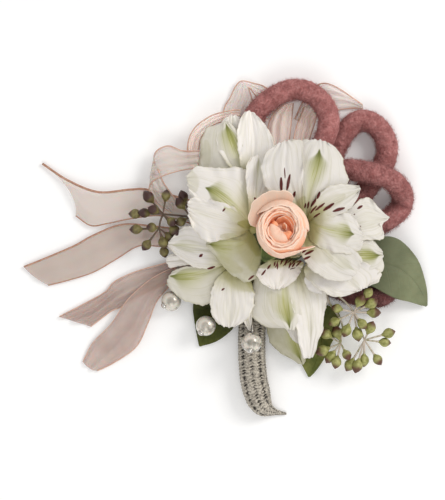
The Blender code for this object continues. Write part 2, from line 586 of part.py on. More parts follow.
# Wool loops: centre lines from the hub round and back
WOOL_LOOPS = {
    "wool_loop_1": ((21.0, 22.5, 8.5), (13.6, 38.0, 7.8), (12.0, 52.0, 7.0), (13.5, 60.0, 7.0),
                    (19.5, 66.2, 7.6), (27.0, 70.2, 8.0), (33.0, 71.1, 8.2), (38.5, 69.3, 9.0),
                    (43.6, 65.0, 10.4), (46.6, 57.8, 12.6), (45.6, 50.5, 14.0),
                    (42.5, 44.0, 14.6), (38.5, 35.0, 14.0), (35.0, 25.5, 12.0)),
    "wool_loop_2": ((43.5, 23.5, 7.5), (46.5, 33.0, 6.0), (50.5, 45.0, 5.0), (56.0, 53.6, 5.0),
                    (61.5, 57.2, 5.0), (67.5, 55.6, 5.0), (72.0, 50.6, 5.0), (73.6, 44.5, 5.0),
                    (72.5, 38.5, 5.0), (69.0, 32.5, 5.0), (62.5, 24.0, 5.0), (53.0, 16.0, 5.0),
                    (44.5, 11.5, 6.0)),
    "wool_loop_3": ((48.0, 27.5, 15.0), (53.5, 34.0, 15.3), (60.5, 33.7, 15.5), (68.5, 32.2, 15.4),
                    (75.2, 29.6, 12.5), (80.0, 24.5, 7.5), (80.7, 19.2, 5.0), (77.6, 14.6, 5.0),
                    (71.5, 10.6, 5.0), (63.0, 6.0, 5.0), (54.0, 3.5, 5.0), (45.0, 1.5, 5.6)),
    "wool_loop_4": ((43.5, -6.5, 6.0), (53.0, -10.0, 5.0), (62.5, -11.5, 5.0), (70.5, -13.5, 5.0),
                    (74.5, -18.0, 5.0), (72.5, -22.3, 5.0), (66.5, -23.3, 5.0), (58.0, -22.0, 5.0),
                    (49.0, -18.5, 5.0), (40.5, -14.0, 6.0)),
}


def wool_loops():
    """Felted wool cord over wire, bent into open loops."""
    mauve = material("wool_mauve", (0.5, 0.24, 0.25), 0.95)
    for name, points in WOOL_LOOPS.items():
        line = spline(points, 22)
        radii = np.full(len(line), WOOL_RADIUS)
        radii[0] = radii[-1] = WOOL_RADIUS * 0.6
        tube(name, line, radii, 8, mauve)


# Leaves: one edge, the midrib and the other edge, from the stalk to the tip
LEAVES = {
    "leaf_right": (((47.5, -3.0, 11.8), (56.4, 0.5, 11.6), (64.6, 3.0, 11.4), (72.3, 4.3, 11.2),
                    (78.2, 3.0, 10.2), (83.7, -1.6, 8.2), (88.2, -7.9, 6.0), (91.0, -16.2, 4.0),
                    (92.1, -21.7, 3.0), (92.3, -27.2, 2.0)),
                   ((47.5, -5.5, 11.6), (56.4, -7.0, 11.5), (67.8, -7.5, 11.4), (77.8, -10.2, 10.6),
                    (85.2, -15.7, 7.4), (89.4, -21.7, 4.2), (92.0, -27.6, 2.0)),
                   ((47.5, -8.0, 11.6), (54.0, -13.5, 11.6), (60.0, -16.5, 11.5), (66.4, -18.6, 11.5),
                    (72.7, -22.0, 11.3), (77.8, -24.3, 9.6), (83.7, -25.7, 6.6), (88.6, -27.2, 3.6),
                    (91.5, -27.8, 2.0))),
    "leaf_lower_left": (((6.0, -17.0, 4.2), (-5.0, -18.5, 4.0), (-13.5, -22.5, 3.4), (-15.1, -28.0, 2.8),
                         (-14.6, -34.0, 2.2), (-13.6, -40.0, 1.8), (-12.4, -45.9, 1.2)),
                        ((8.0, -20.0, 3.6), (1.0, -26.0, 2.9), (-4.5, -33.0, 2.2), (-9.0, -40.0, 1.6),
                         (-11.9, -46.2, 1.2)),
                        ((8.0, -21.5, 3.6), (7.0, -27.0, 3.2), (5.4, -32.5, 2.8), (3.6, -37.4, 2.2),
                         (0.0, -41.0, 1.8), (-5.0, -44.2, 1.6), (-11.4, -46.1, 1.2))),
    "leaf_bottom": (((20.5, -26.0, 2.4), (24.0, -32.0, 2.2), (29.0, -39.0, 2.0), (32.5, -46.0, 1.8),
                     (34.4, -53.4, 1.4), (37.6, -59.9, 0.8)),
                    ((21.0, -24.0, 2.4), (31.0, -29.0, 1.8), (40.5, -35.0, 1.6), (43.5, -43.0, 1.4),
                     (41.5, -52.0, 1.0), (38.1, -60.3, 0.8)),
                    ((22.0, -22.5, 2.4), (34.0, -25.0, 2.0), (44.0, -26.5, 1.8), (50.5, -29.5, 1.8),
                     (52.6, -34.0, 1.8), (50.6, -40.0, 1.6), (48.2, -45.0, 1.6), (44.9, -52.0, 1.4),
                     (40.8, -58.0, 1.0), (38.7, -60.0, 0.8))),
}


def leaves():
    """Smooth-edged leaves across their three lines."""
    sage = material("leaf_sage", (0.25, 0.32, 0.22), 0.6)
    dark = material("leaf_dark", (0.11, 0.17, 0.07), 0.5)
    for name, lines in LEAVES.items():
        grid = across(lines, LEAF_ROWS, LEAF_COLUMNS)
        blade(name, grid, LEAF_THICKNESS, sage if name == "leaf_right" else dark)


# Ribbons: one edge, the middle and the other edge, from the knot outwards or round a loop
RIBBONS = {
    "ribbon_tail_1": (((-14.0, 20.0, 5.0), (-35.0, 25.4, 3.6), (-44.0, 25.6, 3.0), (-58.5, 24.5, 3.0),
                       (-72.5, 29.9, 2.0), (-84.2, 37.6, 1.0)),
                      ((-14.0, 14.5, 5.4), (-32.0, 19.5, 4.8), (-44.0, 19.0, 4.4), (-58.0, 16.8, 4.4),
                       (-66.0, 19.5, 3.6), (-72.0, 25.4, 2.4)),
                      ((-14.0, 9.5, 5.0), (-29.5, 13.6, 3.6), (-43.0, 12.4, 3.0), (-55.0, 10.0, 2.4),
                       (-62.0, 9.2, 1.6), (-68.9, 13.7, 1.0))),
    "ribbon_tail_2": (((-15.0, 6.5, 2.6), (-34.0, 9.0, 2.4), (-48.0, 9.6, 2.0), (-60.8, 4.7, 1.8),
                       (-69.8, -0.2, 1.6), (-84.6, -6.5, 1.4), (-92.7, -9.7, 1.0)),
                      ((-15.0, 3.0, 3.4), (-32.0, 5.0, 3.4), (-45.0, 3.6, 3.4), (-57.0, -3.2, 3.2),
                       (-66.0, -7.6, 3.0), (-79.0, -11.2, 2.2), (-88.0, -14.2, 1.2)),
                      ((-15.0, -1.0, 2.6), (-30.0, -0.4, 2.4), (-40.0, -0.2, 2.0), (-50.0, -6.0, 1.8),
                       (-60.5, -12.0, 1.4), (-71.0, -15.5, 1.2), (-81.5, -18.2, 0.8))),
    "ribbon_tail_3": (((-16.0, -4.4, 1.6), (-27.4, -7.9, 1.6), (-41.0, -11.8, 1.6),
                       (-50.9, -16.4, 1.4), (-55.6, -21.4, 1.4), (-66.0, -27.2, 1.0),
                       (-76.5, -32.6, 0.8)),
                      ((-16.0, -8.5, 2.2), (-28.0, -13.0, 2.2), (-41.0, -17.6, 2.4),
                       (-49.5, -22.6, 2.2), (-54.6, -26.4, 2.0), (-62.0, -31.0, 1.6),
                       (-70.2, -34.6, 1.0)),
                      ((-16.0, -12.6, 1.6), (-29.7, -18.6, 1.6), (-41.0, -23.6, 1.4),
                       (-48.1, -28.0, 1.2), (-52.6, -30.0, 1.2), (-56.7, -33.0, 1.0),
                       (-62.1, -37.1, 0.8))),
    "ribbon_tail_4": (((-15.5, -7.0, 4.2), (-27.4, -11.5, 4.2), (-36.5, -16.9, 4.4),
                       (-45.5, -25.4, 4.4), (-52.6, -35.8, 3.0), (-61.0, -44.5, 1.6),
                       (-65.7, -53.3, 0.8)),
                      ((-14.5, -10.5, 4.8), (-25.6, -15.0, 4.8), (-34.2, -22.6, 5.4),
                       (-41.0, -32.0, 5.4), (-48.0, -42.0, 3.6), (-57.0, -50.0, 2.0),
                       (-62.5, -56.4, 1.0)),
                      ((-13.5, -13.3, 3.0), (-23.6, -17.0, 2.6), (-31.4, -25.0, 3.0),
                       (-35.4, -34.6, 4.0), (-41.0, -46.1, 2.6), (-51.0, -53.4, 1.4),
                       (-59.0, -57.4, 0.8))),
    "bow_loop_left": (((-12.0, 43.0, 9.0), (-20.0, 43.2, 9.0), (-26.1, 45.4, 8.4), (-31.4, 43.4, 7.0),
                       (-32.9, 39.4, 5.4), (-30.6, 34.0, 8.4), (-28.4, 28.6, 7.6),
                       (-23.0, 21.0, 7.6)),
                      ((-12.4, 39.2, 9.6), (-20.4, 39.0, 9.6), (-27.4, 39.4, 9.2), (-33.0, 36.4, 7.0),
                       (-34.4, 32.6, 6.2), (-32.4, 28.4, 7.6), (-29.4, 23.4, 7.2),
                       (-24.0, 18.0, 7.4)),
                      ((-13.1, 35.3, 9.4), (-20.7, 34.2, 9.4), (-28.8, 31.7, 9.6), (-33.6, 29.0, 8.0),
                       (-35.0, 26.0, 7.0), (-33.6, 22.4, 7.0), (-30.4, 18.4, 7.0),
                       (-25.0, 15.0, 7.2))),
    "bow_loop_upper": (((-16.2, 34.9, 4.5), (-17.6, 43.0, 5.6), (-16.7, 49.3, 8.0), (-14.0, 53.8, 9.6),
                        (-10.3, 56.9, 10.0), (-5.4, 59.6, 10.0), (1.8, 61.4, 9.4), (6.6, 61.8, 8.0)),
                       ((-14.8, 34.9, 3.2), (-15.6, 43.0, 3.8), (-14.6, 49.3, 4.4),
                        (-12.0, 53.0, 5.2), (-8.2, 55.8, 5.8), (-3.0, 58.4, 6.0), (2.6, 59.8, 5.8),
                        (6.4, 60.0, 5.2)),
                       ((-12.6, 35.2, 1.8), (-12.6, 43.0, 1.8), (-11.6, 49.0, 1.4), (-9.2, 52.6, 1.6),
                        (-5.6, 55.4, 2.2), (0.0, 57.4, 2.4), (3.6, 58.0, 2.4), (6.2, 58.2, 2.4))),
    "bow_loop_top": (((-3.0, 49.0, 0.8), (-0.9, 62.6, 0.8), (1.8, 67.7, 1.2), (4.5, 73.1, 1.8),
                      (7.2, 75.4, 2.6), (12.6, 74.5, 1.4), (18.0, 72.7, 0.9), (22.1, 68.0, 0.9),
                      (24.0, 61.0, 0.9)),
                     ((4.0, 50.0, 0.8), (5.4, 62.4, 0.9), (7.4, 68.2, 2.0), (7.6, 72.4, 3.4),
                      (9.0, 73.6, 4.0), (12.8, 72.0, 2.4), (16.8, 69.4, 0.9), (19.6, 64.8, 0.9),
                      (20.8, 58.6, 0.9)),
                     ((10.8, 50.6, 0.8), (11.7, 61.0, 0.9), (11.9, 66.8, 2.6), (10.6, 71.0, 5.0),
                      (10.6, 72.2, 5.6), (13.0, 69.4, 3.4), (15.4, 66.2, 1.0), (17.2, 61.6, 0.9),
                      (17.8, 56.4, 0.9))),
    "bow_loop_right": (((31.5, 58.0, 0.9), (35.6, 66.6, 0.9), (41.0, 73.0, 1.2), (45.6, 74.4, 2.0),
                        (51.3, 72.2, 2.4), (58.1, 67.7, 2.0), (62.6, 64.6, 1.2)),
                       ((34.6, 56.0, 0.9), (38.6, 63.4, 0.9), (43.6, 67.4, 1.0), (48.6, 68.4, 1.4),
                        (53.6, 67.4, 1.8), (58.6, 65.6, 1.8), (62.9, 63.8, 1.2)),
                       ((37.8, 54.0, 0.9), (41.6, 59.0, 0.9), (46.6, 61.4, 0.9), (51.6, 62.4, 1.0),
                        (55.8, 62.9, 1.2), (59.4, 63.1, 1.2), (62.8, 63.0, 1.0))),
    "bow_fold_left": (((21.0, 40.0, 5.4), (19.2, 48.0, 4.6), (19.4, 55.0, 2.4), (22.0, 60.6, 1.6),
                       (26.4, 64.6, 1.6)),
                      ((23.4, 39.0, 7.0), (23.2, 48.0, 6.4), (24.6, 56.0, 5.0), (26.6, 61.6, 3.0),
                       (28.6, 65.0, 2.2)),
                      ((27.6, 38.0, 6.4), (28.8, 47.0, 5.6), (29.8, 56.0, 4.4), (30.4, 61.6, 2.6),
                       (30.8, 65.2, 1.8))),
    "bow_fold_right": (((29.6, 37.6, 9.6), (30.6, 47.0, 9.0), (32.2, 54.6, 7.0), (34.2, 59.4, 4.0),
                        (35.8, 63.6, 2.2)),
                       ((32.4, 38.6, 7.4), (34.0, 46.6, 6.6), (35.8, 53.6, 5.2), (37.4, 58.6, 3.2),
                        (38.8, 62.6, 2.2)),
                       ((34.8, 40.0, 4.6), (37.4, 46.6, 3.6), (39.4, 52.4, 2.6), (41.0, 57.4, 2.0),
                        (42.0, 61.4, 2.0))),
}


def ribbon_grid(lines, count, columns):
    """Surface through three lines: one edge, the middle and the other edge of a ribbon."""
    edge, middle, other = (spline(line, count)[:, None, :] for line in lines)
    v = np.linspace(-1, 1, columns)[None, :, None]
    return edge * v * (v - 1) / 2 + middle * (1 - v * v) + other * v * (v + 1) / 2


def ribbons():
    """Sheer ribbon with a wired edge: tails and bow loops."""
    blush = material("organza_blush", (0.8, 0.62, 0.54), 0.5)
    for name, lines in RIBBONS.items():
        rows = 12 if "tail" in name else 16
        blade(name, ribbon_grid(lines, rows, 3), RIBBON_THICKNESS, blush)


def bow_knot():
    """The pinched middle of the bow, hidden under the flowers."""
    blush = material("knot_blush", (0.75, 0.55, 0.47), 0.6)
    line = ((-9.5, 23.0, 6.0), (-9.3, 20.0, 6.0), (-9.0, 17.0, 6.0), (-8.7, 14.0, 6.0),
            (-8.4, 11.0, 6.0), (-8.0, 8.0, 6.0))
    tube("bow_knot", line, (2.6, 3.1, 2.5, 2.0, 2.6, 2.2), 8, blush)


# Seeded sprays: stems from the hub outwards, then for every fork its place and its seeds' places
SPRAYS = {
    "seed_spray_left": (
        (((7.6, 8.5, 10.0), (-2.0, 10.5, 11.2), (-14.0, 12.6, 11.6), (-27.9, 13.7, 12.4)),
         ((-27.9, 13.7, 12.4), (-29.5, 8.0, 11.6), (-31.0, 3.6, 10.0))),
        {(-27.9, 13.7, 12.4): ((-34.4, 21.8, 13.6), (-26.6, 22.3, 14.2), (-32.4, 16.0, 15.2),
                               (-36.6, 14.2, 12.8), (-41.0, 14.4, 11.4), (-33.0, 9.6, 14.6),
                               (-24.0, 10.6, 15.6), (-19.4, 9.6, 13.0), (-20.4, 22.3, 12.6),
                               (-21.4, 17.6, 13.6)),
         (-31.0, 3.6, 10.0): ((-40.5, 7.0, 9.8), (-36.2, -0.2, 8.4), (-27.9, -0.4, 8.0),
                              (-29.4, -4.2, 8.6), (-25.6, 4.5, 9.6))}),
    "seed_spray_right": (
        (((36.0, -8.0, 11.2), (40.0, -12.5, 13.0), (45.0, -19.0, 13.6), (51.8, -23.6, 13.4),
          (57.6, -30.4, 13.2), (62.8, -42.5, 10.4)),
         ((45.0, -19.0, 13.6), (47.0, -26.0, 12.0), (52.7, -35.5, 10.2), (52.2, -44.1, 8.6))),
        {(57.6, -30.4, 13.2): ((51.8, -27.0, 15.6), (49.0, -33.5, 14.6), (60.3, -24.6, 16.2),
                               (64.4, -21.8, 16.0), (65.6, -26.4, 14.4), (67.1, -30.4, 12.4),
                               (61.4, -35.4, 14.8), (56.6, -36.4, 15.0), (65.6, -36.0, 12.0)),
         (62.8, -42.5, 10.4): ((58.6, -39.0, 12.6), (64.0, -38.6, 13.2), (73.4, -39.4, 10.6),
                               (71.4, -43.4, 9.0), (56.6, -53.8, 8.8), (60.2, -53.6, 10.6),
                               (64.0, -51.4, 8.6), (68.6, -52.0, 10.4)),
         (52.2, -44.1, 8.6): ((48.8, -39.6, 10.8), (44.6, -47.4, 9.4), (47.6, -51.4, 8.8),
                              (51.0, -53.0, 10.0), (54.8, -49.0, 11.4), (46.4, -41.4, 8.4))}),
}
SEED_SHAPE = ((0.0, 0.4), (0.48, 1.0), (1.0, 0.16))


def seed(name, fork, place, finish):
    """A pointed seed capsule on its stalk, turned away from the fork that it grows from."""
    away = np.array(place) - fork
    away /= np.linalg.norm(away)
    foot = np.array(place) - away * SEED_LENGTH / 2
    line = [foot + away * share * SEED_LENGTH for share, _ in SEED_SHAPE]
    radii = [wide * SEED_RADIUS for _, wide in SEED_SHAPE]
    start = np.array(fork) + away * 0.1
    if np.linalg.norm(foot - fork) > 0.6 and (foot - start) @ away > 0:
        line.insert(0, start)
        radii.insert(0, 0.45)
    return tube(name, line, radii, 5, finish)


def seed_sprays():
    """Sprays of seed capsules: forked stems with a capsule at the end of every stalk."""
    for name, (stems, forks) in SPRAYS.items():
        tint = (0.2, 0.19, 0.08) if "left" in name else (0.33, 0.36, 0.12)
        finish = material(name, tint, 0.55)
        first, *others = (tube(f"{name}_{k}", spline(stem, 2 * len(stem)), 0.75, 5, finish)
                          for k, stem in enumerate(stems))
        first.name = name
        for fork, places in forks.items():
            others += [seed(f"{name}_seed", fork, place, finish) for place in places]
        union(first, others)


# Pearls: centre, the direction of the silver cap, and the wire back to the stems
PEARLS = {
    "1": ((-25.0, -25.4, 4.8), (-0.75, -0.45, 0.5),
          ((-20.6, -23.2, 4.6), (-10.0, -19.0, 2.4), (2.0, -9.0, 4.0), (8.0, -1.6, 6.2))),
    "2": ((-9.2, -36.5, 8.0), (-0.5, -0.7, 0.5),
          ((-5.2, -33.6, 7.4), (1.0, -28.0, 6.4), (5.0, -24.0, 6.2), (8.4, -21.6, 6.2))),
    "3": ((11.5, -43.9, 16.9), (-0.15, -0.8, 0.6),
          ((11.9, -39.0, 16.2), (12.2, -34.0, 13.6), (12.8, -29.0, 12.0), (13.0, -25.0, 11.8))),
}


def pearls():
    """Round pearls, each on a wire with a small silver cap."""
    ivory = material("pearl_ivory", (0.85, 0.8, 0.72), 0.2)
    silver = material("cap_silver", (0.7, 0.68, 0.64), 0.25, 1.0)
    for number, (centre, facing, wire) in PEARLS.items():
        ellipsoid(f"pearl_{number}", centre, (PEARL_RADIUS,) * 3, 7, 10, ivory)
        facing = np.array(facing) / np.linalg.norm(facing)
        foot = np.array(centre) + facing * (PEARL_RADIUS + GAP)
        cap_line = [foot + facing * height for height in (0.0, 0.5, 0.9)]
        tube(f"pearl_cap_{number}", cap_line, (1.5, 1.2, 0.5), 8, silver)
        tube(f"pearl_wire_{number}", spline(wire, 7), WIRE_RADIUS, 5, silver)


def main():
    for item in list(bpy.data.objects):
        bpy.data.objects.remove(item)
    white = material("tepal_white", (0.88, 0.87, 0.8), 0.5)
    for name, (throat, level, tepals) in BLOOMS.items():
        bloom(name, throat, level, tepals, white)
    rose()
    rose_calyx()
    stem_bundle()
    braid()
    wool_loops()
    leaves()
    ribbons()
    bow_knot()
    seed_sprays()
    pearls()


main()
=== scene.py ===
import math

import bpy
import numpy as np
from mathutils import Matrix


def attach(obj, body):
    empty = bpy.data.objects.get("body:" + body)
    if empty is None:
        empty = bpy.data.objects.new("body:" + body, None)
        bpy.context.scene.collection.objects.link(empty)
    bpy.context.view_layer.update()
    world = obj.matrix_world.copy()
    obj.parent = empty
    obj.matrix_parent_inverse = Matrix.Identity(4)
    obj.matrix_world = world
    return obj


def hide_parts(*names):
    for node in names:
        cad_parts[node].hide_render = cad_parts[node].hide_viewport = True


# Looks of a flower corsage that lies on its back on a white table.
# Lengths are in millimetres and become metres where a mesh is made.

mm = 0.001
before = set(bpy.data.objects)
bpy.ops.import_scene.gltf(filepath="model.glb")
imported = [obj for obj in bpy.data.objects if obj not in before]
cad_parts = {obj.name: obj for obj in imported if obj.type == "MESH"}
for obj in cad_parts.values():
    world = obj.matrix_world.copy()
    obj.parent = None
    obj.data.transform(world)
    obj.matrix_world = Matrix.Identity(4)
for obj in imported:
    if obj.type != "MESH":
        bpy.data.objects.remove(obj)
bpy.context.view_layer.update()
print("frame loaded,", len(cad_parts), "nodes")


# Small number tools

def fade(t):  # smooth step from 0 to 1 while t goes from 0 to 1
    t = np.clip(t, 0, 1)
    return t * t * (3 - 2 * t)


def wobble(t, seed, terms=4):  # sum of sines of rising rate and falling strength, phases drawn from the seed
    draw = np.random.default_rng(seed)
    rates = np.arange(1, terms + 1) * (1 + 0.4 * draw.random(terms))
    phases = draw.random(terms) * 2 * math.pi
    waves = np.sin(np.asarray(t)[..., None] * rates + phases) / np.arange(1, terms + 1)
    return waves.sum(axis=-1) / 1.5


def curveThrough(points, count):  # evenly spaced points on a Catmull-Rom curve through the given ones
    given = np.array(points, float)
    ends = np.vstack([2 * given[0] - given[1], given, 2 * given[-1] - given[-2]])
    a, b, c, d = (ends[k:len(ends) - 3 + k, None, :] for k in range(4))
    t = np.linspace(0, 1, 24, endpoint=False)[None, :, None]
    curve = 0.5 * (2 * b + (c - a) * t + (2 * a - 5 * b + 4 * c - d) * t ** 2 + (3 * b - a - 3 * c + d) * t ** 3)
    curve = np.vstack([curve.reshape(-1, 3), given[-1:]])
    length = np.concatenate([[0], np.cumsum(np.linalg.norm(np.diff(curve, axis=0), axis=1))])
    even = np.linspace(0, length[-1], count)
    return np.column_stack([np.interp(even, length, curve[:, k]) for k in range(3)])


def unit(vectors):
    return vectors / np.linalg.norm(vectors, axis=-1, keepdims=True)


def sheetGrid(look):  # u from 0 to 1 down the rows, v from -1 to 1 across the columns
    return np.linspace(0, 1, look["rows"])[:, None], np.linspace(-1, 1, look["columns"])[None, :]


def acrossLines(first, middle, last, v):  # the parabola across three lines, met where v is -1, 0 and 1
    v = v[..., None]
    return first * v * (v - 1) / 2 + middle * (1 - v ** 2) + last * v * (v + 1) / 2


def fullTurn(sides):
    return np.linspace(0, 2 * math.pi, sides, endpoint=False)


# Mesh tools: a piece gathers surfaces, and becomes one object

def newPiece():
    return {"points": [], "count": 0, "faces": [], "uvs": [], "values": {}}


def addFaces(piece, faces, uv):  # faces are rows of point numbers, uv has a pair for each corner
    piece["faces"].append(faces)
    piece["uvs"].append(uv.reshape(-1, 2))


def addPoints(piece, points, values):
    piece["points"].append(points)
    for key, value in values.items():
        piece["values"].setdefault(key, []).append((piece["count"], np.broadcast_to(value, len(points))))
    start = piece["count"]
    piece["count"] += len(points)
    return start


def addSheet(piece, points, thickness, **values):
    # closed thin shell: every point of the grid is moved half the thickness both ways along the normal
    rows, columns = points.shape[:2]
    normal = unit(np.cross(np.gradient(points, axis=0), np.gradient(points, axis=1)))
    half = normal * (np.broadcast_to(thickness, (rows, columns)) / 2)[..., None]
    both = np.concatenate([(points + half).reshape(-1, 3), (points - half).reshape(-1, 3)])
    values = {key: np.tile(np.broadcast_to(value, (rows, columns)).ravel(), 2) for key, value in values.items()}
    start = addPoints(piece, both, values)
    under = rows * columns
    index = start + np.arange(under).reshape(rows, columns)
    v, u = np.meshgrid(np.linspace(0, 1, columns), np.linspace(0, 1, rows))
    uv = np.dstack([v, u]).reshape(-1, 2)
    a, b, c, d = (part.ravel() for part in (index[:-1, :-1], index[:-1, 1:], index[1:, 1:], index[1:, :-1]))
    for corners, shift in (((a, d, c, b), 0), ((a, b, c, d), under)):
        faces = np.column_stack(corners)
        addFaces(piece, faces + shift, uv[faces - start])
    rim = np.concatenate([index[0, :-1], index[:-1, -1], index[-1, :0:-1], index[:0:-1, 0]])
    following = np.roll(rim, -1)
    side = np.column_stack([rim, following, following, rim])
    addFaces(piece, side + np.array([0, 0, under, under]), uv[side - start])


def addRings(piece, rings, **values):
    # closed skin over rings of points, each end closed by a fan round the ring's middle
    count, sides = rings.shape[:2]

    def everywhere(value):  # the value at every ring point, then at the two ends
        value = np.broadcast_to(value, (count, sides))
        return np.concatenate([value.ravel(), [value[0].mean(), value[-1].mean()]])

    ends = np.stack([rings[0].mean(axis=0), rings[-1].mean(axis=0)])
    values = {key: everywhere(value) for key, value in values.items()}
    start = addPoints(piece, np.concatenate([rings.reshape(-1, 3), ends]), values)
    ring, k = (part.ravel() for part in np.meshgrid(np.arange(count - 1), np.arange(sides), indexing="ij"))
    near, far = start + ring * sides, start + (ring + 1) * sides
    after = (k + 1) % sides
    across = np.column_stack([k, k + 1, k + 1, k]) / sides
    along = np.column_stack([ring, ring, ring + 1, ring + 1]) / (count - 1)
    addFaces(piece, np.column_stack([near + k, near + after, far + after, far + k]), np.dstack([across, along]))
    k = np.arange(sides)
    after = (k + 1) % sides
    fan = np.column_stack([k, k + 1, k + 0.5]) / sides
    middle, last = np.full(sides, start + count * sides), start + (count - 1) * sides
    addFaces(piece, np.column_stack([start + after, start + k, middle]), np.dstack([fan, np.zeros((sides, 3))]))
    addFaces(piece, np.column_stack([last + k, last + after, middle + 1]), np.dstack([fan, np.ones((sides, 3))]))


def ringsAlong(line, radii, sides):
    # rings of points square to a line: the line's point plus radius times a turning unit vector
    line = np.asarray(line, float)
    tangent = unit(np.gradient(line, axis=0))
    spare = np.eye(3)[np.argmin(np.abs(tangent).mean(axis=0))]
    side = unit(np.cross(tangent, spare))
    up = np.cross(side, tangent)
    angle = fullTurn(sides)
    radii = np.asarray(radii, float)
    radii = np.broadcast_to(radii if radii.ndim == 2 else radii[..., None], (len(line), sides))
    spread = np.cos(angle)[None, :, None] * side[:, None, :] + np.sin(angle)[None, :, None] * up[:, None, :]
    return line[:, None, :] + radii[..., None] * spread


def addTube(piece, line, radii, sides, **values):
    addRings(piece, ringsAlong(line, radii, sides), **values)


def newObject(name, data):
    item = bpy.data.objects.new(name, data)
    bpy.context.scene.collection.objects.link(item)
    return item


def finishPiece(piece, name, material, nodes):
    mesh = bpy.data.meshes.new(name)
    points = np.concatenate(piece["points"]) * mm
    faces = [face for block in piece["faces"] for face in block.tolist()]
    mesh.from_pydata(points, [], faces)
    layer = mesh.uv_layers.new(name="UVMap")
    layer.data.foreach_set("uv", np.concatenate(piece["uvs"]).ravel())
    for key, blocks in piece["values"].items():
        attribute = mesh.attributes.new(key, "FLOAT", "POINT")
        whole = np.zeros(len(points))
        for start, block in blocks:
            whole[start:start + len(block)] = block
        attribute.data.foreach_set("value", whole)
    mesh.shade_smooth()
    mesh.materials.append(material)
    item = newObject(name, mesh)
    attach(item, "root")
    if nodes:
        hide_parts(*nodes)
    return item


# Shader tools

def newMaterial(name, **sockets):
    material = bpy.data.materials.new(name)
    material.use_nodes = True
    shader = material.node_tree.nodes["Principled BSDF"]
    for key, value in sockets.items():
        shader.inputs[key.replace("_", " ")].default_value = value
    return material, material.node_tree, shader


def put(tree, kind, sockets=None, **settings):  # one node, its sockets set or linked by name or number
    node = tree.nodes.new(kind)
    for key, value in settings.items():
        setattr(node, key, value)
    for key, value in (sockets or {}).items():
        if isinstance(value, bpy.types.NodeSocket):
            tree.links.new(value, node.inputs[key])
        else:
            node.inputs[key].default_value = value
    return node


def calc(tree, operation, *values, clamp=False):
    sockets = dict(enumerate(values))
    return put(tree, "ShaderNodeMath", sockets, operation=operation, use_clamp=clamp).outputs[0]


def times(tree, first, second, clamp=False):
    return calc(tree, "MULTIPLY", first, second, clamp=clamp)


def vectorCalc(tree, operation, a, b, output="Vector"):
    return put(tree, "ShaderNodeVectorMath", {0: a, 1: b}, operation=operation).outputs[output]


def ramp(tree, value, low, high, out=(0.0, 1.0)):  # smooth step between two bounds
    sockets = {"Value": value, "From Min": low, "From Max": high, "To Min": out[0], "To Max": out[1]}
    return put(tree, "ShaderNodeMapRange", sockets, interpolation_type="SMOOTHSTEP").outputs[0]


def blend(tree, factor, first, second, how="MIX"):
    sockets = {0: factor, 6: first, 7: second}
    return put(tree, "ShaderNodeMix", sockets, data_type="RGBA", blend_type=how).outputs[2]


def turnTo(tree, first, second, value, low, high, out=(0.0, 1.0)):  # one tint turns to another with a value
    return blend(tree, ramp(tree, value, low, high, out), first, second)


# the grey paints shade or light over a whole piece
def toned(tree, tint, shadeTone):  # the tint times a grey
    return blend(tree, 1.0, tint, colour(shadeTone, shadeTone, shadeTone), "MULTIPLY")


def paint(tree, shader, tint, height=None, distance=0.2, strength=0.5):  # base colour, and a bump in millimetres
    tree.links.new(tint, shader.inputs["Base Color"])
    if height is not None:
        sockets = {"Height": height, "Distance": distance * mm, "Strength": strength}
        tree.links.new(put(tree, "ShaderNodeBump", sockets).outputs[0], shader.inputs["Normal"])


def colour(r, g, b):
    return (r, g, b, 1.0)


def newGroup(name, inputs, outputs):
    tree = bpy.data.node_groups.new(name, "ShaderNodeTree")
    for key, kind, value in inputs:
        socket = tree.interface.new_socket(key, in_out="INPUT", socket_type="NodeSocket" + kind)
        socket.default_value = value
    for key in outputs:
        tree.interface.new_socket(key, in_out="OUTPUT", socket_type="NodeSocketFloat")
    return tree, tree.nodes.new("NodeGroupInput").outputs, tree.nodes.new("NodeGroupOutput").inputs


def useGroup(tree, group, sockets):
    return put(tree, "ShaderNodeGroup", sockets, node_tree=group)


def attribute(tree, name):
    return put(tree, "ShaderNodeAttribute", attribute_name=name).outputs["Fac"]


def objectPlace(tree):
    return put(tree, "ShaderNodeTexCoord").outputs["Object"]


def ownUv(tree):
    return put(tree, "ShaderNodeSeparateXYZ", {0: put(tree, "ShaderNodeUVMap", uv_map="UVMap").outputs[0]}).outputs


# Mottle: two sizes of noise in Object coordinates, as values round a half
mottle, given, result = newGroup("mottle", [("Size", "Float", 1.0), ("Stretch", "Vector", (1, 1, 1))],
                                 ["Coarse", "Fine"])
place = vectorCalc(mottle, "MULTIPLY", objectPlace(mottle), given["Stretch"])
rate = calc(mottle, "DIVIDE", 1000.0, given["Size"])
coarse = put(mottle, "ShaderNodeTexNoise", {"Vector": place, "Scale": rate, "Detail": 3.0, "Roughness": 0.6})
fine = put(mottle, "ShaderNodeTexNoise", {"Vector": place, "Scale": times(mottle, rate, 5.0), "Detail": 2.0})
mottle.links.new(coarse.outputs["Fac"], result["Coarse"])
mottle.links.new(fine.outputs["Fac"], result["Fine"])


def spotsOf(tree, size, stretch=(1, 1, 1)):  # the coarse and the fine value of the mottle
    return useGroup(tree, mottle, {"Size": size, "Stretch": stretch}).outputs


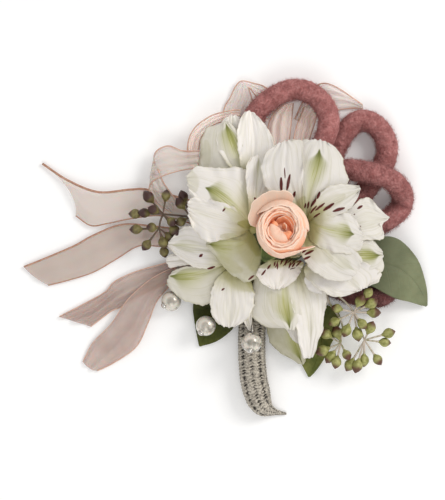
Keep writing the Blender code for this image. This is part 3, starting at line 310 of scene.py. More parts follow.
# Veins: fine lines that run along a petal or leaf, from noise stretched along its own UV map
veins, given, result = newGroup("veins", [("Lines", "Float", 40.0), ("Seed", "Float", 0.0)],
                                ["Mask", "Across", "Along"])
uv = ownUv(veins)
sockets = {0: times(veins, uv[0], given["Lines"]), 1: times(veins, uv[1], 2.0), 2: times(veins, given["Seed"], 9.0)}
stretched = put(veins, "ShaderNodeCombineXYZ", sockets).outputs[0]
lines = put(veins, "ShaderNodeTexNoise", {"Vector": stretched, "Scale": 1.0, "Detail": 2.0, "Distortion": 0.15})
away = calc(veins, "ABSOLUTE", calc(veins, "MULTIPLY_ADD", uv[0], 2.0, -1.0))
veins.links.new(ramp(veins, lines.outputs["Fac"], 0.5, 0.68), result["Mask"])
veins.links.new(away, result["Across"])
veins.links.new(uv[1], result["Along"])


def linesOf(tree, lines, seed):  # the mask of the veins, and how far a point is across and along
    return useGroup(tree, veins, {"Lines": lines, "Seed": seed}).outputs


# Streak: how near a point is, seen from above, to a short line between two places, thinning to its ends
streak, given, result = newGroup("streak", [("Place", "Vector", (0, 0, 0)), ("From", "Vector", (0, 0, 0)),
                                            ("To", "Vector", (0, 0, 0)), ("Width", "Float", 0.3),
                                            ("Before", "Float", 0.0)], ["Mask"])
reach = vectorCalc(streak, "SUBTRACT", given["To"], given["From"])
offset = vectorCalc(streak, "SUBTRACT", given["Place"], given["From"])
share = calc(streak, "DIVIDE", vectorCalc(streak, "DOT_PRODUCT", offset, reach, "Value"),
             vectorCalc(streak, "DOT_PRODUCT", reach, reach, "Value"), clamp=True)
foot = put(streak, "ShaderNodeVectorMath", {0: reach, "Scale": share}, operation="SCALE").outputs[0]
gap = vectorCalc(streak, "DISTANCE", offset, foot, "Value")
taper = calc(streak, "POWER", calc(streak, "SINE", calc(streak, "MULTIPLY_ADD", share, 2.6, 0.27)), 0.6)
taper = times(streak, taper, given["Width"])
near = ramp(streak, gap, times(streak, taper, 1.25), times(streak, taper, 0.6))
streak.links.new(calc(streak, "MAXIMUM", near, given["Before"]), result["Mask"])


def nearLine(tree, place, start, end, width, before=0.0):
    sockets = {"Place": place, "From": (*start, 0), "To": (*end, 0), "Width": width, "Before": before}
    return useGroup(tree, streak, sockets).outputs["Mask"]


def twoToneMaterial(name, size, tints, low=0.3, bump=(0.2, 0.5), stretch=(1, 1, 1), **sockets):
    # the coarse mottle turns the first tint to the second, and the fine one is the bump
    material, tree, shader = newMaterial(name, **sockets)
    coarse, fine = spotsOf(tree, size, stretch)
    paint(tree, shader, turnTo(tree, *tints, coarse, low, 0.7), fine if bump else None, *bump)
    return material


print("shader tools made")


# Blooms

bloomLook = {
    "white": colour(0.84, 0.80, 0.76), "cream": colour(0.80, 0.755, 0.68), "vein": colour(0.62, 0.585, 0.41),
    "edge": colour(0.70, 0.64, 0.42), "flush": colour(0.42, 0.40, 0.235), "lime": colour(0.48, 0.475, 0.185),
    "olive": colour(0.21, 0.22, 0.03), "beak": colour(0.09, 0.11, 0.015), "throat": colour(0.46, 0.43, 0.17),
    "wash": colour(0.36, 0.335, 0.10), "streakRed": colour(0.10, 0.008, 0.006), "streakWidth": 1.3,
    "mottle": 9.0, "veins": 38.0, "shake": 2.5, "bump": (0.16, 0.5), "seed": 100,
    "rows": 66, "columns": 41, "thickness": 0.42, "edgeThickness": 0.18,
    "ruffle": 0.85, "frill": 0.035, "tip": 0.4, "wave": 0.22, "rib": 0.022, "groove": 0.5,
    "headCentre": (24.0, 4.0), "headTop": 35.0, "headFall": 17.0, "headRadius": 60.0,
    "hollowDepth": 9.0, "hollowRadius": 14.0, "roseCentre": (24.9, 5.6),
    "start": 1.2, "sideRow": 8, "funnelDepth": 6.0, "funnelShare": 0.25, "cup": {"outer": -1.8, "inner": 1.1},
    "widest": {"outer": 0.68, "inner": 0.6}, "endWidth": {"outer": 0.5, "inner": 0.1}, "hiddenGreen": 0.2,
    "hubCentre": (24.0, 4.0, 7.0), "hubRadii": (15.0, 13.0, 5.6), "stalk": 1.3, "tubeDrop": 3.6, "tubeLong": 9.0,
    "tubeRings": 26, "tubeSides": 24, "tube": ((0, 0.2, 0.4, 0.55, 0.75, 1), (2.7, 2.5, 2.3, 1.9, 1.3, 1.3)),
}

# Each bloom has its throat, its level under the top of the head, and a grey laid over its tepals: painted shade and
# light for how the lamps fall on it
bloomPlaces = {
    "bloom_right": ((35.6, 10.6), 0, 0.87),
    "bloom_left": ((11.7, 7.9), -4.5, 1.03),
    "bloom_lower_right": ((41.4, -2), -5, 0.92),
    "bloom_lower": ((27.4, -5.6), -9, 1),
    "bloom_top": ((10.8, 25), -10, 1.1),
    "bloom_lower_left": ((4, -7.4), -13.5, 1.04),
    "bloom_bottom": ((26.5, -20), -17.5, 1),
}

# Tepals that show: kind, raise, green of the stripe, where the stripe ends, other values,
# then one edge, the middle and the other edge, from the throat to the tip
shownTepals = {
    "bloom_right": (
        ("inner", 1.4, 0, 1, {},
         ((31.3, 14.1), (24.1, 18.9), (18.2, 24.7), (15.6, 32.7), (16.5, 39), (19.2, 43.1), (22.3, 44.9)),
         ((34.4, 10.9), (30.3, 22), (26.7, 34.5), (25.9, 46.5)),
         ((35.7, 14), (34.3, 22), (34.3, 32.7), (34.4, 41.7), (33.5, 47.2), (29.5, 47.2))),
        ("outer", 0, 1, 0.88, {"flush": 0.1},
         ((34.3, 14), (31.2, 22), (29.8, 30.9), (29.4, 39), (31.3, 45.4), (35.8, 47.4)),
         ((35.7, 10.9), (37.4, 24.7), (41, 38.1), (42.1, 47.2)),
         ((38.3, 13.1), (46.3, 20.2), (54.4, 26.5), (53.6, 32.8), (52.3, 38.7), (49.3, 43.7), (45.7, 45.9))),
        ("inner", 1.2, 0.12, 1, {"flush": 0.12},
         ((37, 12.7), (39.2, 20.2), (44.5, 25.6), (50.8, 27.4), (55.8, 27), (59.4, 26.6)),
         ((37.4, 11.4), (44.5, 16.7), (52.6, 21.1), (59.9, 25.2)),
         ((38.8, 10), (47.6, 12.7), (54.3, 15.8), (57.5, 19.4), (58.9, 22.1), (59.4, 24.3))),
        ("outer", 2.4, 0.95, 0.84, {"flush": 0.08, "broad": 1.3, "ruffle": 1.2},
         ((37.9, 10.9), (43.2, 14), (49.4, 15.3), (54.3, 14.5), (57.9, 11.3), (60.2, 7.3)),
         ((37.4, 10), (44, 7.8), (51.6, 6), (60.6, 4.2)),
         ((36.6, 8.7), (37.4, 2.4), (42.7, -1.6), (49.8, -3.4), (55.2, -3.8), (59.7, -2), (61.1, 1.1))),
        ("inner", 0.6, 0.25, 0.95, {"flush": 0.1, "ruffle": 0.7},
         ((37.9, 8.7), (45.3, 4.2), (52.9, 0.6), (58.4, -2.9), (60.7, -6.5)),
         ((36.6, 7.8), (42.7, 0.2), (51.6, -7.4), (58.4, -11.8)),
         ((34.8, 7.3), (32.9, -0.2), (35.1, -7.4), (40.9, -13.1), (48.1, -15.8), (54.4, -15.9)))),
    "bloom_left": (
        ("outer", 1, 0.95, 0.74, {"ruffle": 1.5, "broad": 1.2},
         ((10.7, 10.5), (7.6, 6.9), (0.9, 10.5), (-6.3, 15), (-12.1, 19.1), (-16.6, 23.2)),
         ((11.6, 10.9), (2.7, 17.6), (-7.2, 24.9), (-17.6, 29)),
         ((12.5, 14.1), (11.6, 23.9), (9.4, 33.8), (2.7, 35), (-4.9, 34.8), (-11.7, 35.8), (-15.8, 34),
          (-18, 30.9))),
        ("inner", 0.4, 0.1, 1, {"ruffle": 2.2},
         ((10.7, 6), (6.2, 4.2), (-1.8, 2.4), (-8.5, 1.5), (-12, 4.2), (-14.9, 8), (-16.8, 12.5)),
         ((11.6, 7.8), (2.7, 10.8), (-7, 13.6), (-17.2, 17)),
         ((11.6, 10.5), (4, 17), (-4.9, 20), (-11.6, 21.6), (-15.6, 21.4), (-17.1, 19.4))),
        ("outer", -0.6, 0.85, 0.97, {"cup": -2.6, "roll": -0.8, "flush": 0.8, "broad": 1.6},
         ((15.6, 3.5), (16.2, -2.5), (15.2, -9), (13.4, -15), (8, -15.9), (2.7, -13.2), (-1.8, -8.7), (-5.4, -4.3),
          (-8.1, -0.7)),
         ((12.5, 4.2), (6.2, 0.7), (-1.8, 0.2), (-9, 0.7)),
         ((10.7, 7.4), (6.2, 6.5), (0.9, 6), (-4.5, 4.7), (-7.6, 2.4))),
        ("inner", 2, 0.3, 0.97, {}, ((10.3, 13.2), (9.8, 20.3), (8.9, 27.5), (8.9, 34.7), (10.8, 39.2)),
         ((12.5, 13.2), (13.4, 22.1), (14.3, 31.1), (14.8, 40.3)),
         ((15.2, 15), (18.8, 22.1), (21.9, 30.2), (21.9, 35.6), (19.7, 39.2)))),
    "bloom_lower_right": (
        ("inner", 1, 0.1, 1, {"ruffle": 1.5, "flush": 0.12},
         ((42.9, 1.1), (49.6, 10.5), (56.5, 17.7), (62.9, 21.8), (66.6, 19.1), (70.3, 15.5), (72.6, 13.3)),
         ((43.8, -0.2), (53.2, 6.9), (62.8, 11), (73, 11.9)),
         ((45.6, -2), (55.5, 0.7), (63.7, 2.5), (69.3, 2.5), (71.1, 5.2), (68.4, 9.7))),
        ("outer", 1.6, 1, 0.97, {"flush": 0.2, "broad": 1.2},
         ((43.3, -1.1), (51, 0.7), (59.1, 3.4), (65.6, 2.5), (69.3, -1.1)),
         ((42.9, -2.5), (52.3, -3.8), (61, -4.3), (70.7, -4.3)),
         ((42, -4.7), (50.1, -8.3), (58.3, -11.9), (64.8, -13.7), (69.4, -12.4), (71.2, -8.8), (69.8, -5.6))),
        ("inner", 0.4, 0.1, 1, {"ruffle": 1.6},
         ((44.7, -2.9), (53.2, -3.8), (61.9, -7.4), (69.4, -11.9), (69, -16), (64.8, -17.8)),
         ((42, -4.7), (48.7, -10.1), (55.6, -15.5), (60.7, -20)),
         ((39.3, -4.7), (34.8, -9.2), (36.6, -15.4), (42.9, -20.4), (49.3, -23.1), (54.8, -22.2), (58.9, -20.4)))),
    "bloom_lower": (
        ("inner", 2, 0.05, 1, {},
         ((24.2, -5.2), (17.9, -7.4), (13.9, -11), (14.3, -14.6), (16.6, -17.3), (19.7, -19.1)),
         ((27.4, -4.7), (25.5, -10.1), (23.8, -15.5), (22.9, -19.5)),
         ((30.5, -5.6), (34.5, -7.4), (33.2, -11.9), (30.5, -15.9), (26.5, -18.6))),
        ("outer", 0.6, 1, 0.97, {"cup": -3.2, "roll": -1.4, "flush": 0.35},
         ((25.1, -7.4), (17.9, -10.1), (13, -14.6), (10.8, -20.9), (10.3, -27.2), (12.2, -32.7), (16.2, -35.8),
          (20.7, -37.2), (24.8, -36.7)),
         ((27.4, -7.4), (26.4, -16.4), (27, -26.3), (28.9, -38.1)),
         ((29.6, -8.3), (31.8, -15.5), (33.2, -23.6), (33.8, -30.8), (32.9, -35.4), (31.1, -37.7))),
        ("inner", -0.4, 0.15, 0.8, {},
         ((29.2, -7.4), (28.7, -15.5), (29.2, -24.5), (31.1, -33.6), (32.6, -42.7), (34, -48.3), (35, -51.1)),
         ((30.9, -7.4), (34.5, -17.3), (37.9, -33.6), (37.7, -51.1)),
         ((33.2, -6.5), (40.4, -11.9), (44.5, -19.1), (45, -26.8), (43.8, -33.6), (43.9, -38.6), (41.7, -42.8),
          (40.8, -47.4), (39.5, -50.6)))),
    "bloom_top": (
        ("outer", 0, 0.85, 0.98, {"rise": 5, "cup": -3.2, "roll": -2, "flush": 0.4, "broad": 1.2},
         ((9.4, 26.3), (1.8, 27.7), (-6.3, 31.4), (-11.8, 36.9), (-11.8, 43.4), (-10.9, 48.9), (-9.1, 53.5),
          (-5.4, 54.4), (-2.3, 54.8)),
         ((10.8, 26.3), (6.3, 38.6), (2.7, 47.8), (-0.4, 56.2)),
         ((12.1, 27.6), (13.5, 34.9), (10.8, 43.1), (7.7, 48.7), (4.5, 52.9), (1.4, 55.7))),
        ("inner", 0.6, 0, 1, {"rise": 5},
         ((9.4, 27.6), (6.8, 34.9), (5.4, 43.2), (5, 50.5), (5.9, 56.1), (7.8, 59.4)),
         ((11.2, 27.6), (12.6, 38.5), (12.7, 49.6), (10.9, 60.8)),
         ((13.5, 27.6), (18.9, 34), (22.1, 40.3), (21.2, 47.2), (18.6, 53.2), (15, 57.5))),
        ("inner", -1.4, 0.1, 1, {"rise": 4}, ((8.1, 29.5), (0.9, 36.3), (-4.1, 45.6), (-3.2, 53.9), (0, 58.1)),
         ((9.9, 29.5), (6.3, 39.5), (4.1, 48.7), (3.2, 59.2)),
         ((11.7, 29.4), (10.8, 38.5), (10, 47.7), (7.7, 54.7), (5.9, 58.2)))),
    "bloom_lower_left": (
        ("inner", 1.8, 0.3, 0.98, {},
         ((2.7, -5.6), (-2.7, -9.2), (-9, -10.6), (-15.4, -9.3), (-20.4, -6.1), (-24.1, -2.9), (-25.9, -0.7)),
         ((3.2, -4.3), (-6.3, -2), (-16.3, -0.7), (-26.4, 0.7)),
         ((2.7, -2), (-2.7, 2.5), (-9, 4.8), (-13.1, 7.9), (-17.2, 9.1), (-21.3, 7.1), (-24.5, 3.4))),
        ("outer", 0.6, 0.9, 0.98, {"cup": -1, "rise": 0.8, "flush": 0.45, "broad": 1.6},
         ((3.2, -8.8), (0, -17.8), (-6.3, -25.6), (-13.6, -26.8), (-20, -24.3), (-24.6, -20.7), (-26.9, -17.5)),
         ((1.8, -7.4), (-7.2, -11.5), (-16.3, -13.4), (-25.9, -13.9)),
         ((0.9, -5.6), (-5.4, -8.3), (-12.7, -9.3), (-19, -9.7), (-23.2, -11.1))),
        ("inner", 1.6, 0.1, 1, {"roll": -0.8, "flush": 0.1},
         ((0.9, -10.1), (-4.1, -14.7), (-6.8, -21), (-7.2, -27.4), (-5.9, -32.5), (-3.2, -35.6)),
         ((3.6, -10.1), (2.7, -17.8), (2.3, -27.4), (1.4, -37)),
         ((6.3, -10.1), (10.8, -15.5), (12.6, -21.9), (12.2, -28.2), (9.5, -33.3), (5.5, -36))),
        ("inner", -0.6, 0, 1, {}, ((0.9, -6.5), (-7.2, -7.4), (-14.5, -8.4), (-20.9, -9.3), (-25.5, -10.2)),
         ((0.9, -5.2), (-8.1, -5.6), (-18.1, -6.1), (-27.3, -7)),
         ((0.9, -3.8), (-7.2, -2.9), (-15.4, -2.5), (-22.7, -3.4), (-26.4, -4.8)))),
    "bloom_bottom": (
        ("outer", 0, 1, 0.98, {"rise": 3.2, "cup": -2.6, "flush": 0.9},
         ((26.3, -21.9), (22.2, -28.3), (19.2, -33.8), (18.7, -39.4), (20.2, -44), (24.3, -48.7), (30.3, -51.9)),
         ((27.2, -21), (27.2, -31.5), (30.6, -43.1), (34.9, -54.3)),
         ((28.1, -21), (31.8, -29.2), (35.5, -38.5), (37, -45.4), (36.2, -51.5))),),
}

# Tepals under the others: kind, raise, apex, width
hiddenTepals = {
    "bloom_right": (("outer", 0, (22, 23), 9),),
    "bloom_left": (("inner", -6.5, (3, -13), 9), ("inner", 1.4, (21, 18), 7)),
    "bloom_lower_right": (
        ("outer", 0, (44.5, -21), 17), ("outer", 0, (57, 19), 13), ("inner", -3, (37.5, -14.5), 7)),
    "bloom_lower": (("outer", -2.2, (18, -19), 10), ("inner", 1.4, (34.5, 0), 6), ("outer", 0, (18, 0), 7)),
    "bloom_top": (("outer", 0, (26.5, 39), 13), ("inner", 1.4, (-1, 20.5), 8), ("inner", 1.4, (20, 19.5), 6)),
    "bloom_lower_left": (
        ("outer", 0, (-4, 5.5), 10), ("inner", -1.5, (13, -17), 8), ("inner", 0.6, (10.8, -38.6), 5.5)),
    "bloom_bottom": (
        ("inner", 1.4, (38.5, -47), 13), ("outer", 0, (45, -29), 14), ("inner", 1.4, (17, -30), 9),
        ("outer", 0, (14, -22.5), 8), ("inner", 1.4, (34.5, -13), 6)),
}

# Dark red streaks, seen from above: from, to and half width
streaks = {
    "bloom_right": (
        ((24.5, 24.2), (24.4, 30), 0.62), ((26.1, 30), (26, 34.5), 0.26), ((27, 24.7), (28.3, 31.4), 0.6),
        ((29.7, 21.2), (30.7, 23.8), 0.5), ((34.9, 16.7), (35.4, 18.7), 0.36), ((36.2, 16.7), (36.9, 19.4), 0.4),
        ((37.8, 17.4), (40, 20.7), 0.45), ((40.5, 20.9), (41.6, 23.8), 0.52), ((37.6, 14.5), (40.1, 17.6), 0.38),
        ((39.8, 15.6), (43.6, 18.8), 0.46), ((43.4, 15.6), (47.8, 18.7), 0.6), ((47.6, 15.2), (52.5, 16.7), 0.62),
        ((39, 12.5), (41.6, 14.3), 0.38), ((41.2, 16.9), (42.9, 18.4), 0.3), ((35.1, -4), (38.7, -2.2), 0.5),
        ((34.2, -6.2), (37.3, -4.9), 0.45), ((33.8, -3.1), (36, -1.6), 0.4)),
    "bloom_left": (
        ((-11.8, -4.9), (-10.6, -4), 0.55), ((-1.5, 15.4), (-0.5, 16.5), 0.4),
        ((10.1, -15.2), (12.5, -13.4), 0.36), ((12.7, 21.2), (13.8, 19.7), 0.55)),
    "bloom_lower_left": (
        ((-8.3, -10.5), (-5, -9.6), 0.42), ((-2, -20.1), (-0.8, -19.3), 0.36), ((-11.9, -5), (-10.7, -4), 0.55)),
    "bloom_lower_right": (
        ((58.9, 16.6), (61, 17.8), 0.5), ((55.7, 12), (56.3, 12.6), 0.32), ((59.2, 7.9), (60.2, 8.6), 0.5),
        ((57.2, 13.8), (57.6, 14.1), 0.25)),
    "bloom_lower": (
        ((24.3, -8.6), (26.2, -5.6), 0.22), ((25.6, -9.2), (28, -6.2), 0.22), ((27.4, -7.8), (30, -5.8), 0.22),
        ((29, -8.6), (31.6, -6.2), 0.22), ((30, -7), (33.5, -5), 0.22), ((31.5, -7.6), (35, -5.8), 0.22),
        ((33.4, -6.8), (37.2, -4.6), 0.22), ((28.6, -10.6), (31, -10), 0.19), ((22, -10), (23.4, -6.8), 0.22),
        ((35.4, -5.2), (38.9, -4.8), 0.35), ((15.9, -13.2), (17.7, -11), 0.39), ((18.6, -10.5), (20, -8.6), 0.35),
        ((21.5, -9.2), (22, -7.2), 0.31), ((22.9, -10.5), (23.1, -7.9), 0.33), ((24.8, -8.3), (25.1, -6.3), 0.31),
        ((26.5, -8.8), (27.1, -6.5), 0.33), ((28.1, -10.1), (29, -7.6), 0.33), ((29.6, -9.6), (30.9, -7.7), 0.35),
        ((31.4, -9.2), (32.9, -7.6), 0.31), ((32.7, -7.9), (34.8, -5.8), 0.33), ((34.5, -6.4), (37.7, -5), 0.35),
        ((35.5, -4.1), (39, -2.2), 0.39), ((10.1, -15.2), (12.5, -13.4), 0.28)),
}

# Yellow-green round the throats, partly the tepals' green and partly painted shade where they meet and beside the
# rose, seen from above: from, to, half width and strength
shadeWashes = {
    "bloom_left": (
        ((12.2, 9.5), (14.2, -3), 4, 0.7), ((8.5, 4.5), (12.5, -9), 6, 0.4), ((6, 9.8), (12, 9), 2.2, 0.8),
        ((-6, -6), (6, -11), 3.5, 0.3), ((-14, 25), (-16, 33), 3, 0.25), ((-2, 4), (6, 3), 2, 0.35)),
    "bloom_top": (((-9, 36), (-9, 47), 2.5, 0.2),),
    "bloom_right": (
        ((37, 11.5), (37.6, -1), 4.4, 0.6), ((36, 13), (44, 16.5), 2.2, 0.45), ((31, 14), (34.5, 21), 2.6, 0.45),
        ((41, 16), (52, 22), 3, 0.22), ((37, -2), (46, -6), 4, 0.22)),
    "bloom_lower": (
        ((15, -9), (35, -5), 2.8, 0.6), ((33, -8), (39, -3), 2.4, 0.5), ((20, -22), (27, -30), 4, 0.25)),
    "bloom_lower_left": (((0, -11), (11, -19), 5, 0.45), ((9, -8), (13, -20), 3, 0.5)),
}


def shellHeight(x, y, level):
    # a low dome that falls with the square of the distance, with a bell-shaped hollow under the rose
    look = bloomLook
    square = (x - look["headCentre"][0]) ** 2 + (y - look["headCentre"][1]) ** 2
    near = (x - look["roseCentre"][0]) ** 2 + (y - look["roseCentre"][1]) ** 2
    hollow = look["hollowDepth"] * np.exp(-near / look["hollowRadius"] ** 2)
    return look["headTop"] + level - look["headFall"] * square / look["headRadius"] ** 2 - hollow


def plainEdges(throat, apex, width, kind):
    # the half width grows as a sine to its widest place and falls as a power after it
    base, tip = np.array(throat, float), np.array(apex, float)
    widest, endWidth = bloomLook["widest"][kind], bloomLook["endWidth"][kind]
    u = np.linspace(0, 1, 12)
    past = np.clip((u - widest) / (1 - widest), 0, 1)
    swell = 0.1 + 0.9 * np.sin(np.clip(u / widest, 0, 1) * math.pi / 2) ** 1.5
    half = width / 2 * swell * (1 - (1 - endWidth) * past ** 2.2)
    side = unit(np.array((base[1] - tip[1], tip[0] - base[0])))
    middle = base + u[:, None] * (tip - base)
    return middle + half[:, None] * side, middle, middle - half[:, None] * side


def tepalSurface(throat, level, kind, lift, edges, seed, rise=0.0, cup=None, roll=0.0, ruffle=1.0):
    # u runs from the throat to the tip, v from one edge to the other. Seen from above the blade is the
    # parabola across its three lines, drawn together at the throat, with a fine frill at its edges. Its
    # height is the head's shell, less a funnel at the throat, plus a rise to the tip, a cup across, a
    # ruffle that grows with the fourth power of v, soft waves and ribs, and a groove along the middle.
    look = bloomLook
    u, v = sheetGrid(look)
    one, middle, other = (curveThrough(np.pad(edge, ((0, 0), (0, 1))), look["rows"])[:, None, :2] for edge in edges)
    flat = acrossLines(one, middle, other, -v)
    forward = unit(middle[-1, 0] - np.array(throat))
    side = unit(one[look["sideRow"], 0] - other[look["sideRow"], 0])
    root = np.array(throat) + forward * look["start"] * (1 + 5 * u[..., None]) + side * v[..., None] * look["start"]
    flat = root + (flat - root) * fade(u / 0.2)[..., None]
    frill = look["frill"] * (wobble(u * 26 + 9 * np.sign(v), seed, 5) * np.abs(v) ** 5 * fade(u * 3))
    flat = middle + (flat - middle) * (1 + frill[..., None])
    spread = np.clip(np.linalg.norm(one[-1, 0] - other[-1, 0]) / 9, 0.15, 1)
    flat = flat + forward * (spread * look["tip"] * wobble(v * (3 + 6 * spread), seed + 3, 6) * u ** 12)[..., None]
    x, y = flat[..., 0], flat[..., 1]
    cup = look["cup"][kind] if cup is None else cup
    z = shellHeight(x, y, level + lift)
    z = z - look["funnelDepth"] * np.clip(1 - u / look["funnelShare"], 0, 1) ** 2
    z = z + rise * u ** 2 + (cup * v ** 2 + roll * v) * np.sin(math.pi * np.clip(u, 0, 0.8))
    z = z + ruffle * look["ruffle"] * wobble(u * 11 + 2.5 * v, seed + 1) * v ** 4 * fade(u * 2.5)
    z = z + ruffle * look["ruffle"] * 0.6 * wobble(v * 6, seed + 6) * u ** 8
    soft = look["wave"] * wobble(v * 5 + u * 4, seed + 2) + look["rib"] * wobble(v * 16, seed + 5, 3)
    z = z + soft * fade(u * 3)
    z = z - look["groove"] * np.exp(-(v / 0.1) ** 2) * np.sin(math.pi * u)
    return np.dstack([x, y, z])


def hubMeeting(point):
    # where the line from a point to the hub's centre meets the hub's egg shape, grown by the stalk's radius
    look = bloomLook
    away = np.array(point, float) - look["hubCentre"]
    reach = np.linalg.norm(away / (np.array(look["hubRadii"]) + look["stalk"]))
    return np.array(look["hubCentre"]) + away / reach


def stalkLine(x, y, top):
    # down from the throat and over to the hub; where the hub is met higher up, the bend lies halfway there
    below = np.array((x, y, max(top - bloomLook["tubeLong"], bloomLook["hubCentre"][2])))
    end = hubMeeting(below)
    if end[2] > below[2] - 0.5:
        below = (end + (x, y, top)) / 2
    line = (x, y, top), (x, y, (top + below[2]) / 2), tuple(below), tuple(end)
    return curveThrough(line, bloomLook["tubeRings"])


def tepalMaterial(name, marks, shades, shadeTone):
    look = bloomLook
    material, tree, shader = newMaterial(name, Roughness=0.5, Subsurface_Weight=0.03, Subsurface_Scale=0.0004,
                                         Subsurface_Radius=(1.0, 0.85, 0.5), Specular_IOR_Level=0.3)
    mask, across, along = linesOf(tree, look["veins"], attribute(tree, "seed"))
    coarse, fine = spotsOf(tree, look["mottle"])
    green = attribute(tree, "green")
    tint = turnTo(tree, look["white"], look["cream"], coarse, 0.35, 0.75, (0.0, 0.6))
    tint = blend(tree, times(tree, mask, 0.3), tint, look["vein"])
    tint = turnTo(tree, tint, look["edge"], across, 0.93, 1.0, (0.0, 0.3))
    # the throat tint is the tepals' yellow-green deepened by painted shade in the recess of the throat
    tint = turnTo(tree, tint, look["throat"], along, 0.5, 0.06, (0.0, 0.85))
    # the flush is partly the green of the tepals' backs and partly painted shade on tepals that turn away from the
    # light
    flush = times(tree, attribute(tree, "flush"), ramp(tree, coarse, 0.2, 0.8, (1.0, 0.6)))
    tint = blend(tree, flush, tint, look["flush"])
    # the stripe is a drop: narrow at the throat, widest at four fifths of its length, with a dark tip
    share = calc(tree, "DIVIDE", along, attribute(tree, "tip"))
    wide = times(tree, ramp(tree, share, 0.2, 0.75, (0.1, 0.42)), ramp(tree, share, 1.0, 0.78, (0.12, 1.0)))
    wide = times(tree, wide, attribute(tree, "broad"))
    inside = times(tree, ramp(tree, calc(tree, "DIVIDE", across, wide), 1.3, 0.0), ramp(tree, share, 1.02, 0.97))
    inside = times(tree, inside, green)
    lime = calc(tree, "MULTIPLY_ADD", mask, 0.4, ramp(tree, share, 0.15, 0.8, (0.35, 0.8)))
    tint = blend(tree, times(tree, inside, lime, clamp=True), tint, look["lime"])
    deep = calc(tree, "MULTIPLY_ADD", mask, 0.35, ramp(tree, share, 0.6, 0.98, (0.0, 0.9)))
    deep = times(tree, times(tree, inside, deep, clamp=True), ramp(tree, share, 0.45, 0.7))
    tint = blend(tree, deep, tint, look["olive"])
    beak = times(tree, ramp(tree, inside, 0.2, 0.6), ramp(tree, share, 0.84, 0.97, (0.0, 0.75)))
    tint = blend(tree, times(tree, beak, green), tint, look["beak"])
    if marks or shades:
        place = vectorCalc(tree, "MULTIPLY", objectPlace(tree), (1 / mm, 1 / mm, 0))
        spot = spotsOf(tree, look["shake"])["Coarse"]
        shake = {0: calc(tree, "MULTIPLY_ADD", spot, 0.5, -0.25), 1: calc(tree, "MULTIPLY_ADD", spot, -0.4, 0.2)}
        place = vectorCalc(tree, "ADD", place, put(tree, "ShaderNodeCombineXYZ", shake).outputs[0])
        # painted shade: yellow-green laid where the tepals meet round the throats
        for start, end, width, strength in shades:
            shadeWashed = nearLine(tree, place, start, end, width)
            tint = blend(tree, times(tree, shadeWashed, strength), tint, look["wash"])
        dark = 0.0
        for start, end, width in marks:
            dark = nearLine(tree, place, start, end, width * look["streakWidth"], dark)
        tint = blend(tree, dark, tint, look["streakRed"])
    height = calc(tree, "ADD", times(tree, mask, -0.5), times(tree, fine, 0.5))
    # the bloom's grey paints shade or light over all its tepals
    paint(tree, shader, toned(tree, tint, shadeTone), height, *look["bump"])
    return material


for number, (name, (throat, level, shadeTone)) in enumerate(bloomPlaces.items()):
    look = bloomLook
    piece = newPiece()
    tepals = [(*tepal[:5], tepal[5:]) for tepal in shownTepals[name]]
    tepals += [(kind, lift, look["hiddenGreen"], 1.0, {}, plainEdges(throat, apex, width, kind))
               for kind, lift, apex, width in hiddenTepals[name]]
    for k, (kind, lift, green, tip, extra, edges) in enumerate(tepals):
        seed = look["seed"] + number * 17 + k * 3
        shape = {key: value for key, value in extra.items() if key in ("rise", "cup", "roll", "ruffle")}
        surface = tepalSurface(throat, level, kind, lift, edges, seed, **shape)
        thinning = (look["edgeThickness"] - look["thickness"]) * sheetGrid(look)[1] ** 2
        addSheet(piece, surface, look["thickness"] + thinning, green=green, tip=tip,
                 flush=extra.get("flush", 0.0), broad=extra.get("broad", 1.0), seed=seed / 10)
    line = stalkLine(*throat, shellHeight(*throat, level) - look["tubeDrop"])
    radii = np.interp(np.linspace(0, 1, look["tubeRings"]), *look["tube"])
    addTube(piece, line, radii, look["tubeSides"], green=1.0, tip=1.0, flush=0.5, broad=1.0, seed=number)
    petalSkin = tepalMaterial("tepal_" + name, streaks.get(name, ()), shadeWashes.get(name, ()), shadeTone)
    finishPiece(piece, name.replace("bloom", "alstroemeria"), petalSkin, [name])
print("blooms made")


# Rose

